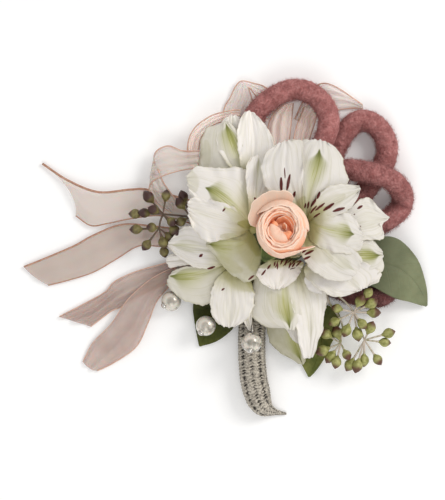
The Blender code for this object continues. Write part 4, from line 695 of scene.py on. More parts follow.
roseLook = {
    "centre": (24.8, 5.6), "base": 32.0, "oval": 0.94, "lean": (-0.9, 2.9), "leanHeight": 13.0,
    "heart": colour(0.92, 0.36, 0.18), "middle": colour(0.96, 0.46, 0.27), "outer": colour(0.88, 0.605, 0.465),
    "back": colour(0.70, 0.515, 0.40), "rim": colour(0.98, 0.75, 0.61),
    "mottle": 5.0, "veins": 26.0, "bump": (0.12, 0.4), "seed": 300,
    "rows": 34, "columns": 48, "thickness": 0.45, "ringThickness": 0.95, "wallThickness": 1.9,
    # the core's heights over the base and its radii there
    "core": ((0.4, 2, 4, 6, 6.6), (4.6, 6.6, 7.0, 5.0, 2.0)), "coreRings": 14, "coreSides": 40,
    # petals: direction in degrees, span, then distance from the middle and height at the foot, the belly and
    # the rim, how far the rim is moved, how far the lip rolls, how far one end draws out to a point, and depth
    "petals": (
        (121, 1.9, (6.0, 3.0), (12.6, 7.2), (16.2, 9.8), (0.0, 1.0), 0.5, 0.0, 2.0),
        (277, 1.95, (6.0, 2.0), (11.3, 6.0), (10.9, 10.8), (0.6, 0.2), 0.5, 5.2, 1.0),
        (200, 2.7, (5.0, 1.0), (11.4, 6.2), (9.6, 12.4), (0.0, 0.0), 0.6, 0.0, 1.0),
        (322, 2.5, (5.0, 1.0), (11.2, 6.2), (9.1, 12.0), (0.0, 0.2), 0.6, 0.0, 1.0),
        (74, 2.6, (5.0, 1.0), (13.0, 6.6), (8.5, 12.6), (-0.3, 0.2), 0.5, 0.0, 1.0),
        (238, 2.5, (4.5, 2.0), (9.6, 7.0), (8.9, 12.5), (0.0, -0.2), 0.5, 0.0, 0.75),
        (112, 2.5, (4.5, 2.0), (9.2, 7.0), (8.2, 12.6), (0.0, 0.0), 0.5, 0.0, 0.65),
        (352, 2.4, (4.5, 2.0), (8.8, 7.0), (7.9, 12.2), (0.0, 0.0), 0.5, 0.0, 0.65),
        (182, 2.4, (4.0, 2.0), (8.4, 7.0), (8.2, 12.3), (0.0, 0.0), 0.5, 0.0, 0.7),
        (52, 2.4, (4.0, 2.0), (8.0, 7.0), (7.5, 12.1), (0.1, 0.0), 0.5, 0.0, 0.55),
        (292, 2.3, (4.0, 2.0), (8.0, 7.0), (7.7, 11.8), (0.1, 0.0), 0.45, 0.0, 0.65),
        (212, 2.2, (3.6, 2.0), (7.4, 7.0), (7.5, 11.9), (0.1, 0.1), 0.4, 0.0, 0.65),
        (10, 2.3, (3.4, 2.0), (6.6, 7.0), (6.9, 11.6), (0.2, 0.1), 0.4, 0.0, 0.45),
        (118, 2.2, (3.4, 2.0), (6.6, 7.0), (6.7, 11.6), (0.2, 0.2), 0.4, 0.0, 0.4),
        (243, 2.9, (0.6, 6.4), (4.2, 7.8), (6.9, 11.3), (0.4, 0.1), 0.3, 0.0, 0.9),
        (18, 2.6, (2.6, 3.0), (4.6, 6.8), (5.9, 10.6), (0.3, 0.3), 0.2, 0.0, 0.3),
        (62, 2.3, (2.4, 3.0), (4.2, 6.2), (5.0, 9.0), (0.3, 0.4), 0.2, 0.0, 0.1),
        (229, 2.5, (6.2, 7.0), (4.8, 11.0), (1.0, 10.0), (0.2, 0.2), 0.0, 0.0, 0.95),
        (292, 1.7, (5.8, 7.0), (4.2, 10.0), (1.5, 8.8), (0.6, 0.3), 0.0, 0.0, 0.75),
        (172, 1.3, (5.9, 7.0), (4.4, 10.4), (2.4, 9.4), (0.2, 0.5), 0.0, 0.0, 0.5),
        (34, 1.9, (1.0, 6.0), (1.8, 8.0), (2.0, 9.9), (0.5, 0.5), 0.2, 0.0, 0.6),
        (0, 6.25, (5.0, 1.0), (9.9, 6.0), (8.1, 10.9), (0.0, 0.1), 0.0, 0.0, 0.4),
        (90, 6.25, (5.0, 1.0), (10.6, 6.0), (9.2, 11.2), (0.0, 0.1), 0.0, 0.0, 0.85),
        (180, 6.25, (3.5, 1.0), (7.8, 6.4), (7.0, 10.6), (0.1, 0.1), 0.0, 0.0, 0.4),
    ),
}


def rosePetal(degrees, span, foot, belly, rim, shift, roll, point, seed):
    # a piece of a cup: distance and height run on a parabola from foot through belly to rim, the rim falls
    # towards both ends with rounded corners, one end lies further out than the other and the lip rolls
    # outwards. The cup is a little narrower than it is long and leans as the square of the height.
    # A pointed petal narrows at one end and reaches out there.
    look = roseLook
    u, v = sheetGrid(look)
    ahead = np.clip(v, 0, 1)
    rise = (u + (1 - u) * 0.9 * ahead ** 4 * (point > 0)) * (1 - 0.3 * v ** 8 * (point == 0))
    radius, high = (a * (1 - rise) ** 2 + (4 * b - a - c) * rise * (1 - rise) + c * rise ** 2
                    for a, b, c in zip(foot, belly, rim))
    lip = fade((rise - 0.84) / 0.16)
    radius = radius + 0.35 * v * rise + roll * lip ** 2 + point * ahead ** 3 * rise ** 2
    radius = radius + (0.034 * rim[0] * wobble(v * 4 + u * 2, seed) + 0.09 * wobble(v * 12, seed + 2)) * rise ** 2
    high = high - 0.4 * roll * lip ** 2 - (0.9 * np.abs(v) ** 3 - 0.3 * wobble(v * 5, seed + 1)) * rise ** 2
    angle = math.radians(degrees) + v * span / 2
    bend = (high / look["leanHeight"]) ** 2
    x = look["centre"][0] + look["oval"] * radius * np.cos(angle) + look["lean"][0] * bend + shift[0] * u
    y = look["centre"][1] + radius * np.sin(angle) + look["lean"][1] * bend + shift[1] * u
    return np.dstack([x, y, look["base"] + high])


def roseMaterial():
    look = roseLook
    material, tree, shader = newMaterial("rose_petal", Roughness=0.5, Specular_IOR_Level=0.3,
                                         Subsurface_Weight=0.12, Subsurface_Scale=0.0006,
                                         Subsurface_Radius=(1.0, 0.8, 0.6))
    lines = linesOf(tree, look["veins"], attribute(tree, "seed"))
    mask, along = lines["Mask"], lines["Along"]
    depth = attribute(tree, "depth")
    tint = turnTo(tree, look["heart"], look["middle"], depth, 0.2, 0.6)
    # painted shade: low in each petal the tint turns to the heart's colour, most on the inner petals, for the shade
    # in the gaps between them
    deep = times(tree, ramp(tree, along, 0.96, 0.72, (0.0, 0.85)), ramp(tree, depth, 1.0, 0.8, (0.12, 1.0)))
    tint = blend(tree, deep, tint, look["heart"])
    tint = turnTo(tree, tint, look["outer"], depth, 0.75, 1.0)
    tint = turnTo(tree, tint, look["back"], depth, 1.2, 1.8)
    tint = turnTo(tree, tint, look["rim"], along, 0.94, 1.0, (0.0, 0.8))
    tint = blend(tree, times(tree, mask, 0.18), tint, look["middle"])
    height = calc(tree, "ADD", times(tree, mask, 0.5), spotsOf(tree, look["mottle"])["Fine"])
    paint(tree, shader, tint, height, *look["bump"])
    return material


def petalThickness(number, span):  # walls go the whole way round, and the inner rings are packed close
    look = roseLook
    if span > 6:
        return look["wallThickness"]
    return look["ringThickness"] if 4 < number < 14 else look["thickness"]


piece = newPiece()
look = roseLook
for k, (*shape, depth) in enumerate(look["petals"]):
    surface = rosePetal(*shape, look["seed"] + 7 * k)
    addSheet(piece, surface, petalThickness(k, shape[1]), depth=depth, seed=30.0 + k)
heights, widths = look["core"]
high = np.linspace(heights[0], heights[-1], look["coreRings"])
bend = (high / look["leanHeight"]) ** 2
middle = [look["centre"][axis] + look["lean"][axis] * bend for axis in (0, 1)]
coreLine = np.column_stack([*middle, look["base"] + high])
addTube(piece, coreLine, np.interp(high, heights, widths), look["coreSides"], depth=0.1, seed=1.0)
finishPiece(piece, "sprayRose", roseMaterial(), ["spray_rose_petals"])
print("rose made")


# Calyx: a green cup with a stalk under the rose, and five sepals, the first long enough to show beside it

calyxLook = {
    "top": 32.2, "line": ((0, 0, 0), (0, 0, -1.8), (0, 0, -4), (0, 0, -8.5), (0, 0, -13), (-0.8, -1.3, -19.5)),
    "rings": 60, "sides": 28, "radii": ((0, 0.09, 0.2, 0.3, 1), (3.0, 3.2, 2.4, 1.5, 1.5)),
    "rows": 24, "columns": 16, "thickness": 0.6, "sepals": 5, "turn": 236, "start": 1.5, "drop": 1.1,
    "long": (13.5, 5.0), "short": (5.0, 2.6), "mottle": 2.4, "veins": 16.0, "seed": 3.0, "bump": (0.2, 0.5),
    "deep": colour(0.045, 0.07, 0.014), "light": colour(0.10, 0.145, 0.035), "edge": colour(0.32, 0.34, 0.12),
}


def calyxMaterial():
    look = calyxLook
    material, tree, shader = newMaterial("calyx_skin", Roughness=0.6, Specular_IOR_Level=0.3)
    lines = linesOf(tree, look["veins"], look["seed"])
    coarse, fine = spotsOf(tree, look["mottle"])
    tint = turnTo(tree, look["deep"], look["light"], coarse, 0.3, 0.7)
    edge = times(tree, ramp(tree, lines["Across"], 0.78, 1.0, (0.0, 0.8)), attribute(tree, "blade"))
    tint = blend(tree, edge, tint, look["edge"])
    paint(tree, shader, tint, calc(tree, "ADD", times(tree, lines["Mask"], 0.6), fine), *look["bump"])
    return material


def sepal(number):
    # a flat blade that leaves the cup, swells as a sine and sinks as the square of the way out and across
    look = calyxLook
    reach, half = look["short"] if number else look["long"]
    turn = math.radians(look["turn"] + 360 / look["sepals"] * number)
    u, v = sheetGrid(look)
    ahead = look["start"] + reach * u + 0 * v
    wide = half * np.sin(math.pi * (0.16 + 0.8 * u)) * v
    x = roseLook["centre"][0] + ahead * math.cos(turn) - wide * math.sin(turn)
    y = roseLook["centre"][1] + ahead * math.sin(turn) + wide * math.cos(turn)
    return np.dstack([x, y, look["top"] - look["drop"] - 0.8 * u ** 2 - 0.3 * v ** 2])


piece = newPiece()
look = calyxLook
line = curveThrough(np.array(look["line"]) + (*roseLook["centre"], look["top"]), look["rings"])
addTube(piece, line, np.interp(np.linspace(0, 1, look["rings"]), *look["radii"]), look["sides"], blade=0.0)
for number in range(look["sepals"]):
    addSheet(piece, sepal(number), look["thickness"], blade=1.0)
finishPiece(piece, "roseCalyx", calyxMaterial(), ["spray_rose_calyx"])
print("calyx made")


# Wool loops

woolLook = {
    "radius": 4.7, "sides": 64, "rings": 320, "lumps": (0.025, 0.02), "nap": 0.16, "endSteep": 25,
    "dark": colour(0.25, 0.068, 0.062), "mid": colour(0.44, 0.165, 0.155), "light": colour(0.58, 0.275, 0.26),
    "cloud": 3.2, "hair": 0.9, "bump": (0.7, 0.8), "seeds": (500, 520, 540, 560), "floor": 0.1,
    "fibres": 9000, "fibreLength": (0.7, 2.8), "fibreWidth": 0.08, "fibreFloor": 0.05,
    # a grey for each loop: painted shade on the fourth, which lies low under the head, and painted light on the
    # others
    "shadeTones": {"wool_loop_1": 1.2, "wool_loop_2": 1.12, "wool_loop_3": 1.06, "wool_loop_4": 0.5},
}
woolLines = {
    "wool_loop_1": (
        (21, 22.5, 8.5), (13.6, 38, 7.8), (12, 52, 7), (13.5, 60, 7), (19.5, 66.2, 7.6), (27, 70.2, 8),
        (33, 71.1, 8.2), (38.5, 69.3, 9), (43.6, 65, 10.4), (46.6, 57.8, 12.6), (45.6, 50.5, 14), (42.5, 44, 14.6),
        (38.5, 35, 14), (35, 25.5, 12)),
    "wool_loop_2": (
        (43.5, 23.5, 7.5), (46.5, 33, 6), (50.5, 45, 5), (56, 53.6, 5), (61.5, 57.2, 5), (67.5, 55.6, 5),
        (72, 50.6, 5), (73.6, 44.5, 5), (72.5, 38.5, 5), (69, 32.5, 5), (62.5, 24, 5), (53, 16, 5),
        (44.5, 11.5, 6)),
    "wool_loop_3": (
        (48, 27.5, 15), (53.5, 34, 15.3), (60.5, 33.7, 15.5), (68.5, 32.2, 15.4), (75.2, 29.6, 12.5),
        (80, 24.5, 7.5), (80.7, 19.2, 5), (77.6, 14.6, 5), (71.5, 10.6, 5), (63, 6, 5), (54, 3.5, 5),
        (45, 1.5, 5.6)),
    "wool_loop_4": (
        (43.5, -6.5, 6), (53, -10, 5), (62.5, -11.5, 5), (70.5, -13.5, 5), (74.5, -18, 5), (72.5, -22.3, 5),
        (66.5, -23.3, 5), (58, -22, 5), (49, -18.5, 5), (40.5, -14, 6)),
}


def woolMaterial(name, shadeTone):
    look = woolLook
    material, tree, shader = newMaterial(name, Roughness=0.95, Sheen_Weight=0.15, Sheen_Roughness=0.5,
                                         Sheen_Tint=colour(0.9, 0.7, 0.7), Specular_IOR_Level=0.1)
    cloud = spotsOf(tree, look["cloud"])["Coarse"]
    coarse, fine = spotsOf(tree, look["hair"])
    tint = turnTo(tree, look["mid"], look["light"], coarse, 0.3, 0.7)
    tint = turnTo(tree, tint, look["dark"], cloud, 0.62, 0.35, (0.0, 0.5))
    paint(tree, shader, toned(tree, tint, shadeTone), calc(tree, "ADD", coarse, times(tree, fine, 0.6)), *look["bump"])
    return material


def addFibres(piece, line, radius, count, seed):
    # each fibre is a thin three-sided spike that leaves the cord's skin and bends along it; one that would
    # sink into the table is raised as a whole
    look = woolLook
    draw = np.random.default_rng(seed)
    tangent = unit(np.gradient(line, axis=0))
    side = unit(np.cross(tangent, (0, 0, 1)))
    up = np.cross(side, tangent)
    at = draw.integers(0, len(line), count)
    angle = draw.random(count) * 2 * math.pi
    out = np.cos(angle)[:, None] * side[at] + np.sin(angle)[:, None] * up[at]
    along = tangent[at] * draw.uniform(-1, 1, count)[:, None]
    along = along + np.cross(tangent[at], out) * draw.uniform(-1, 1, count)[:, None]
    root = line[at] + out * radius * 0.97 + tangent[at] * draw.uniform(-0.5, 0.5, count)[:, None]
    long = draw.uniform(*look["fibreLength"], count)[:, None]
    lean = unit(out + along * 1.1)
    bent = unit(lean + along * 1.4 - out * 0.3)
    middle = root + lean * long * 0.5
    tip = middle + bent * long * 0.6
    wide = unit(np.cross(lean, out + 0.01)) * look["fibreWidth"] / 2
    deep = unit(np.cross(wide, lean)) * look["fibreWidth"] / 2
    corners = [root + wide, root - wide * 0.5 + deep, root - wide * 0.5 - deep]
    corners += [middle + wide * 0.8, middle - wide * 0.4 + deep * 0.8, middle - wide * 0.4 - deep * 0.8, tip]
    points = np.stack(corners, axis=1)
    points[..., 2] += np.maximum(look["fibreFloor"] - points[..., 2].min(axis=1, keepdims=True), 0)
    start = addPoints(piece, points.reshape(-1, 3), {"fibre": 1.0})
    first = start + np.arange(count)[:, None] * len(corners)
    for pattern in (((0, 1, 4, 3), (1, 2, 5, 4), (2, 0, 3, 5)), ((3, 4, 6), (4, 5, 6), (5, 3, 6), (2, 1, 0))):
        faces = np.concatenate([first + face for face in pattern])
        addFaces(piece, faces, np.zeros((*faces.shape, 2)))


for number, (name, points) in enumerate(woolLines.items()):
    # the cord's radius narrows at its ends and carries two waves of lumps and a fine random nap
    look = woolLook
    line = curveThrough(points, look["rings"])
    share = np.linspace(0, 1, look["rings"])[:, None]
    seeds = np.add(look["seeds"], number)
    turn = fullTurn(look["sides"])[None, :]
    ends = np.clip(np.minimum(share, 1 - share) * look["endSteep"], 0, 1) ** 0.5
    lumps = 1 + look["lumps"][0] * wobble(share * 60 + 2 * np.sin(turn), seeds[0])
    lumps = lumps + look["lumps"][1] * wobble(share * 25 + 3 * np.cos(turn), seeds[1])
    nap = np.random.default_rng(seeds[3]).normal(0, look["nap"], lumps.shape)
    rings = ringsAlong(line, look["radius"] * (0.5 + 0.5 * ends) * lumps + nap, look["sides"])
    rings[..., 2] = np.maximum(rings[..., 2], look["floor"])
    piece = newPiece()
    addRings(piece, rings, fibre=0.0)
    addFibres(piece, line, look["radius"], look["fibres"], seeds[2])
    wool = woolMaterial("felted_" + name, look["shadeTones"][name])
    finishPiece(piece, "woolLoop" + name[-1], wool, [name])
print("wool loops made")


# Leaves

leafLook = {
    "rows": 70, "columns": 41, "thickness": 0.45, "wave": 0.35, "groove": 0.35,
    "mottle": 9.0, "ribs": 9.0, "slant": 1.6, "shade": 0.6, "bump": (0.3, 0.6), "seed": 600,
    # material, its two tints and its slot
    "finish": {
        "leaf_right": ("sage_leaf", colour(0.155, 0.17, 0.09), colour(0.215, 0.235, 0.13), "leaf_sage"),
        "leaf_lower_left": ("dark_leaf", colour(0.036, 0.046, 0.003), colour(0.105, 0.115, 0.014), "leaf_dark"),
        "leaf_bottom": ("fresh_leaf", colour(0.09, 0.115, 0.018), colour(0.24, 0.245, 0.065), "leaf_dark")},
}
# one edge, the midrib and the other edge, from the stalk to the tip
leaves = {
    "leaf_right": (
        ((47.5, -3, 11.8), (56.4, 0.5, 11.6), (64.6, 3, 11.4), (72.3, 4.3, 11.2), (78.2, 3, 10.2),
         (83.7, -1.6, 8.2), (88.2, -7.9, 6), (91, -16.2, 4), (92.1, -21.7, 3), (92.3, -27.2, 2)),
        ((47.5, -5.5, 11.6), (56.4, -7, 11.5), (67.8, -7.5, 11.4), (77.8, -10.2, 10.6), (85.2, -15.7, 7.4),
         (89.4, -21.7, 4.2), (92, -27.6, 2)),
        ((47.5, -8, 11.6), (54, -13.5, 11.6), (60, -16.5, 11.5), (66.4, -18.6, 11.5), (72.7, -22, 11.3),
         (77.8, -24.3, 9.6), (83.7, -25.7, 6.6), (88.6, -27.2, 3.6), (91.5, -27.8, 2))),
    "leaf_lower_left": (
        ((6, -17, 4.2), (-5, -18.5, 4), (-13.5, -22.5, 3.4), (-15.1, -28, 2.8), (-14.6, -34, 2.2),
         (-13.6, -40, 1.8), (-12.4, -45.9, 1.2)),
        ((8, -20, 3.6), (1, -26, 2.9), (-4.5, -33, 2.2), (-9, -40, 1.6), (-11.9, -46.2, 1.2)),
        ((8, -21.5, 3.6), (7, -27, 3.2), (5.4, -32.5, 2.8), (3.6, -37.4, 2.2), (0, -41, 1.8), (-5, -44.2, 1.6),
         (-11.4, -46.1, 1.2))),
    "leaf_bottom": (
        ((20.5, -26, 2.4), (24, -32, 2.2), (29, -39, 2), (32.5, -46, 1.8), (34.4, -53.4, 1.4), (37.6, -59.9, 0.8)),
        ((21, -24, 2.4), (31, -29, 1.8), (40.5, -35, 1.6), (43.5, -43, 1.4), (41.5, -52, 1), (38.1, -60.3, 0.8)),
        ((22, -22.5, 2.4), (34, -25, 2), (44, -26.5, 1.8), (50.5, -29.5, 1.8), (52.6, -34, 1.8), (50.6, -40, 1.6),
         (48.2, -45, 1.6), (44.9, -52, 1.4), (40.8, -58, 1), (38.7, -60, 0.8))),
}


def leafMaterial(name, deep, light):
    look = leafLook
    material, tree, shader = newMaterial(name, Roughness=0.55, Subsurface_Weight=0.05, Subsurface_Scale=0.001,
                                         Specular_IOR_Level=0.25)
    coarse, fine = spotsOf(tree, look["mottle"])
    uv = ownUv(tree)
    away = calc(tree, "ABSOLUTE", calc(tree, "MULTIPLY_ADD", uv[0], 2.0, -1.0))
    slant = calc(tree, "SUBTRACT", times(tree, uv[1], look["ribs"]), times(tree, away, look["slant"]))
    ribs = ramp(tree, calc(tree, "ABSOLUTE", calc(tree, "SINE", times(tree, slant, math.pi))), 0.16, 0.0)
    lines = calc(tree, "MAXIMUM", times(tree, ribs, 0.5), ramp(tree, away, 0.045, 0.01))
    tint = turnTo(tree, deep, light, coarse, 0.3, 0.75)
    tint = blend(tree, times(tree, lines, 0.35), tint, light)
    # painted shade: darker towards the stalk, where the flower head shades the leaf
    tint = turnTo(tree, tint, colour(*(part * look["shade"] for part in deep[:3])), uv[1], 0.78, 0.3, (0.0, 0.75))
    height = calc(tree, "ADD", times(tree, lines, -0.8), times(tree, fine, 0.4))
    paint(tree, shader, tint, height, *look["bump"])
    return material


def leafSurface(lines, seed):
    # the parabola across the leaf's three lines; its edges wave a little, and its midrib is a soft groove
    look = leafLook
    one, middle, other = (curveThrough(line, look["rows"])[:, None, :] for line in lines)
    u, v = sheetGrid(look)
    grid = acrossLines(one, middle, other, v)
    bent = look["wave"] * wobble(u * 8 + v, seed) * v ** 2 - look["groove"] * np.exp(-(v / 0.05) ** 2)
    grid[..., 2] += bent * np.sin(math.pi * u)
    return grid


for number, (name, lines) in enumerate(leaves.items()):
    piece = newPiece()
    addSheet(piece, leafSurface(lines, leafLook["seed"] + number), leafLook["thickness"])
    *finish, slot = leafLook["finish"][name]
    finishPiece(piece, name.replace("leaf", "foliage"), leafMaterial(*finish), [name])
print("leaves made")


# Ribbon

ribbonLook = {
    "rows": 110, "columns": 33, "thickness": 0.14, "width": 0.016, "floor": 0.25, "wireSides": 10, "seed": 800,
    "edgeMottle": 1.4, "bump": (0.05, 0.3), "warp": 380.0, "weft": 1500.0, "cloud": 22.0,
    "shade": colour(0.78, 0.66, 0.59), "glow": colour(1.0, 0.78, 0.68),
    # tint of the cloth, how much it covers, and how strongly it shines: painted light that lifts thin cloth lying
    # in shade
    "cloths": {"blush": (colour(0.79, 0.70, 0.645), 0.34, 0.0), "pale": (colour(0.95, 0.84, 0.79), 0.2, 0.0),
               "full": (colour(0.66, 0.56, 0.50), 0.5, 0.0), "thin": (colour(0.95, 0.83, 0.76), 0.26, 0.14),
               "brown": (colour(0.50, 0.375, 0.315), 0.36, 0.0)},
    "edges": {"copper": (colour(0.40, 0.20, 0.13), colour(0.55, 0.33, 0.24)),
              "peach": (colour(0.60, 0.36, 0.27), colour(0.74, 0.52, 0.42))},
}
# Each ribbon's cloth, its edge, the radii of its two edge wires, and its folds: how many and how deep
ribbonKinds = {
    "ribbon_tail_1": ("blush", "copper", (0.56, 0.3), (1.5, 0.3)),
    "ribbon_tail_2": ("full", "copper", (0.42, 0.28), (1.5, 0.35)),
    "ribbon_tail_3": ("brown", "peach", (0.3, 0.3), (2, 1.1)),
    "ribbon_tail_4": ("brown", "peach", (0.22, 0.3), (2, 0.7)),
    "bow_loop_left": ("blush", "peach", (0.3, 0.3), (2.5, 1.05)),
    "bow_loop_upper": ("thin", "peach", (0.3, 0.3), (2.5, 1.35)),
    "bow_loop_top": ("pale", "peach", (0.3, 0.3), (3, 0.95)),
    "bow_loop_right": ("pale", "peach", (0.3, 0.3), (3, 0.95)),
    "bow_fold_left": ("thin", "peach", (0.3, 0.3), (2.5, 1.1)),
    "bow_fold_right": ("thin", "peach", (0.3, 0.3), (2.5, 1.55)),
}
ribbonLines = {
    "ribbon_tail_1": (
        ((-14, 20, 5), (-35, 25.4, 3.6), (-44, 25.6, 3), (-58.5, 24.5, 3), (-72.5, 29.9, 2), (-84.2, 37.6, 1)),
        ((-14, 14.5, 5.4), (-32, 19.5, 4.8), (-44, 19, 4.4), (-58, 16.8, 4.4), (-66, 19.5, 3.6), (-72, 25.4, 2.4)),
        ((-14, 9.5, 5), (-29.5, 13.6, 3.6), (-43, 12.4, 3), (-55, 10, 2.4), (-62, 9.2, 1.6), (-68.9, 13.7, 1))),
    "ribbon_tail_2": (
        ((-15, 6.5, 2.6), (-34, 9, 2.4), (-48, 9.6, 2), (-60.8, 4.7, 1.8), (-69.8, -0.2, 1.6), (-84.6, -6.5, 1.4),
         (-92.7, -9.7, 1)),
        ((-15, 3, 3.4), (-32, 5, 3.4), (-45, 3.6, 3.4), (-57, -3.2, 3.2), (-66, -7.6, 3), (-79, -11.2, 2.2),
         (-88, -14.2, 1.2)),
        ((-15, -1, 2.6), (-30, -0.4, 2.4), (-40, -0.2, 2), (-50, -6, 1.8), (-60.5, -12, 1.4), (-71, -15.5, 1.2),
         (-81.5, -18.2, 0.8))),
    "ribbon_tail_3": (
        ((-16, -4.4, 1.6), (-27.4, -7.9, 1.6), (-41, -11.8, 1.6), (-50.9, -16.4, 1.4), (-55.6, -21.4, 1.4),
         (-66, -27.2, 1), (-76.5, -32.6, 0.8)),
        ((-16, -8.5, 2.2), (-28, -13, 2.2), (-41, -17.6, 2.4), (-49.5, -22.6, 2.2), (-54.6, -26.4, 2),
         (-62, -31, 1.6), (-70.2, -34.6, 1)),
        ((-16, -12.6, 1.6), (-29.7, -18.6, 1.6), (-41, -23.6, 1.4), (-48.1, -28, 1.2), (-52.6, -30, 1.2),
         (-56.7, -33, 1), (-62.1, -37.1, 0.8))),
    "ribbon_tail_4": (
        ((-15.5, -7, 4.2), (-27.4, -11.5, 4.2), (-36.5, -16.9, 4.4), (-45.5, -25.4, 4.4), (-52.6, -35.8, 3),
         (-61, -44.5, 1.6), (-65.7, -53.3, 0.8)),
        ((-14.5, -10.5, 4.8), (-25.6, -15, 4.8), (-34.2, -22.6, 5.4), (-41, -32, 5.4), (-48, -42, 3.6),
         (-57, -50, 2), (-62.5, -56.4, 1)),
        ((-13.5, -13.3, 3), (-23.6, -17, 2.6), (-31.4, -25, 3), (-35.4, -34.6, 4), (-41, -46.1, 2.6),
         (-51, -53.4, 1.4), (-59, -57.4, 0.8))),
    "bow_loop_left": (
        ((-12, 43, 9), (-20, 43.2, 9), (-26.1, 45.4, 8.4), (-31.4, 43.4, 7), (-32.9, 39.4, 5.4), (-30.6, 34, 8.4),
         (-28.4, 28.6, 7.6), (-23, 21, 7.6)),
        ((-12.4, 39.2, 9.6), (-20.4, 39, 9.6), (-27.4, 39.4, 9.2), (-33, 36.4, 7), (-34.4, 32.6, 6.2),
         (-32.4, 28.4, 7.6), (-29.4, 23.4, 7.2), (-24, 18, 7.4)),
        ((-13.1, 35.3, 9.4), (-20.7, 34.2, 9.4), (-28.8, 31.7, 9.6), (-33.6, 29, 8), (-35, 26, 7),
         (-33.6, 22.4, 7), (-30.4, 18.4, 7), (-25, 15, 7.2))),
    "bow_loop_upper": (
        ((-16.2, 34.9, 4.5), (-17.6, 43, 5.6), (-16.7, 49.3, 8), (-14, 53.8, 9.6), (-10.3, 56.9, 10),
         (-5.4, 59.6, 10), (1.8, 61.4, 9.4), (6.6, 61.8, 8)),
        ((-14.8, 34.9, 3.2), (-15.6, 43, 3.8), (-14.6, 49.3, 4.4), (-12, 53, 5.2), (-8.2, 55.8, 5.8),
         (-3, 58.4, 6), (2.6, 59.8, 5.8), (6.4, 60, 5.2)),
        ((-12.6, 35.2, 1.8), (-12.6, 43, 1.8), (-11.6, 49, 1.4), (-9.2, 52.6, 1.6), (-5.6, 55.4, 2.2),
         (0, 57.4, 2.4), (3.6, 58, 2.4), (6.2, 58.2, 2.4))),
    "bow_loop_top": (
        ((-3, 49, 0.8), (-0.9, 62.6, 0.8), (1.8, 67.7, 1.2), (4.5, 73.1, 1.8), (7.2, 75.4, 2.6), (12.6, 74.5, 1.4),
         (18, 72.7, 0.9), (22.1, 68, 0.9), (24, 61, 0.9)),
        ((4, 50, 0.8), (5.4, 62.4, 0.9), (7.4, 68.2, 2), (7.6, 72.4, 3.4), (9, 73.6, 4), (12.8, 72, 2.4),
         (16.8, 69.4, 0.9), (19.6, 64.8, 0.9), (20.8, 58.6, 0.9)),
        ((10.8, 50.6, 0.8), (11.7, 61, 0.9), (11.9, 66.8, 2.6), (10.6, 71, 5), (10.6, 72.2, 5.6), (13, 69.4, 3.4),
         (15.4, 66.2, 1), (17.2, 61.6, 0.9), (17.8, 56.4, 0.9))),
    "bow_loop_right": (
        ((31.5, 58, 0.9), (35.6, 66.6, 0.9), (41, 73, 1.2), (45.6, 74.4, 2), (51.3, 72.2, 2.4), (58.1, 67.7, 2),
         (62.6, 64.6, 1.2)),
        ((34.6, 56, 0.9), (38.6, 63.4, 0.9), (43.6, 67.4, 1), (48.6, 68.4, 1.4), (53.6, 67.4, 1.8),
         (58.6, 65.6, 1.8), (62.9, 63.8, 1.2)),
        ((37.8, 54, 0.9), (41.6, 59, 0.9), (46.6, 61.4, 0.9), (51.6, 62.4, 1), (55.8, 62.9, 1.2),
         (59.4, 63.1, 1.2), (62.8, 63, 1))),
    "bow_fold_left": (
        ((21, 40, 5.4), (19.2, 48, 4.6), (19.4, 55, 2.4), (22, 60.6, 1.6), (26.4, 64.6, 1.6)),
        ((23.4, 39, 7), (23.2, 48, 6.4), (24.6, 56, 5), (26.6, 61.6, 3), (28.6, 65, 2.2)),
        ((27.6, 38, 6.4), (28.8, 47, 5.6), (29.8, 56, 4.4), (30.4, 61.6, 2.6), (30.8, 65.2, 1.8))),
    "bow_fold_right": (
        ((29.6, 37.6, 9.6), (30.6, 47, 9), (32.2, 54.6, 7), (34.2, 59.4, 4), (35.8, 63.6, 2.2)),
        ((32.4, 38.6, 7.4), (34, 46.6, 6.6), (35.8, 53.6, 5.2), (37.4, 58.6, 3.2), (38.8, 62.6, 2.2)),
        ((34.8, 40, 4.6), (37.4, 46.6, 3.6), (39.4, 52.4, 2.6), (41, 57.4, 2), (42, 61.4, 2))),
}


def organzaMaterial(name, tint, cover, glow):
    look = ribbonLook
    material, tree, shader = newMaterial(name, Roughness=0.45, Sheen_Weight=0.15, Sheen_Roughness=0.35,
                                         Specular_IOR_Level=0.25, Subsurface_Weight=0.35, Subsurface_Scale=0.0008,
                                         Emission_Color=look["glow"], Emission_Strength=glow)
    uv = ownUv(tree)
    warp = calc(tree, "SINE", times(tree, uv[0], look["warp"]))
    weft = calc(tree, "SINE", times(tree, uv[1], look["weft"]))
    weave = calc(tree, "MULTIPLY_ADD", calc(tree, "ADD", warp, weft), 0.25, 0.5)
    cloud = spotsOf(tree, look["cloud"])["Coarse"]
    paint(tree, shader, turnTo(tree, tint, look["shade"], cloud, 0.35, 0.7, (0.0, 0.5)), weave, *look["bump"])
    turned = put(tree, "ShaderNodeLayerWeight", {"Blend": 0.35}).outputs["Facing"]
    alpha = calc(tree, "ADD", calc(tree, "MULTIPLY_ADD", weave, 0.12, cover), times(tree, turned, 0.3), clamp=True)
    tree.links.new(alpha, shader.inputs["Alpha"])
    return material


def ribbonSurface(lines, folds, seed):
    # three lines hold the ribbon; across it the surface is the parabola through them, with folds as a
    # sine across it that wander along it and die out at its edges
    look = ribbonLook
    edge, middle, other = (curveThrough(line, look["rows"])[:, None, :] for line in lines)
    u, v = sheetGrid(look)
    surface = acrossLines(edge, middle, other, v)
    drift = 0.8 * wobble(u * 5, seed)
    fold = folds[1] * np.sin(folds[0] * math.pi * v + drift) * (1 - v ** 6)
    surface[..., 2] += fold * (0.75 + 0.25 * wobble(u * 4, seed + 1))
    surface[..., 2] = np.maximum(surface[..., 2], look["floor"])
    return surface


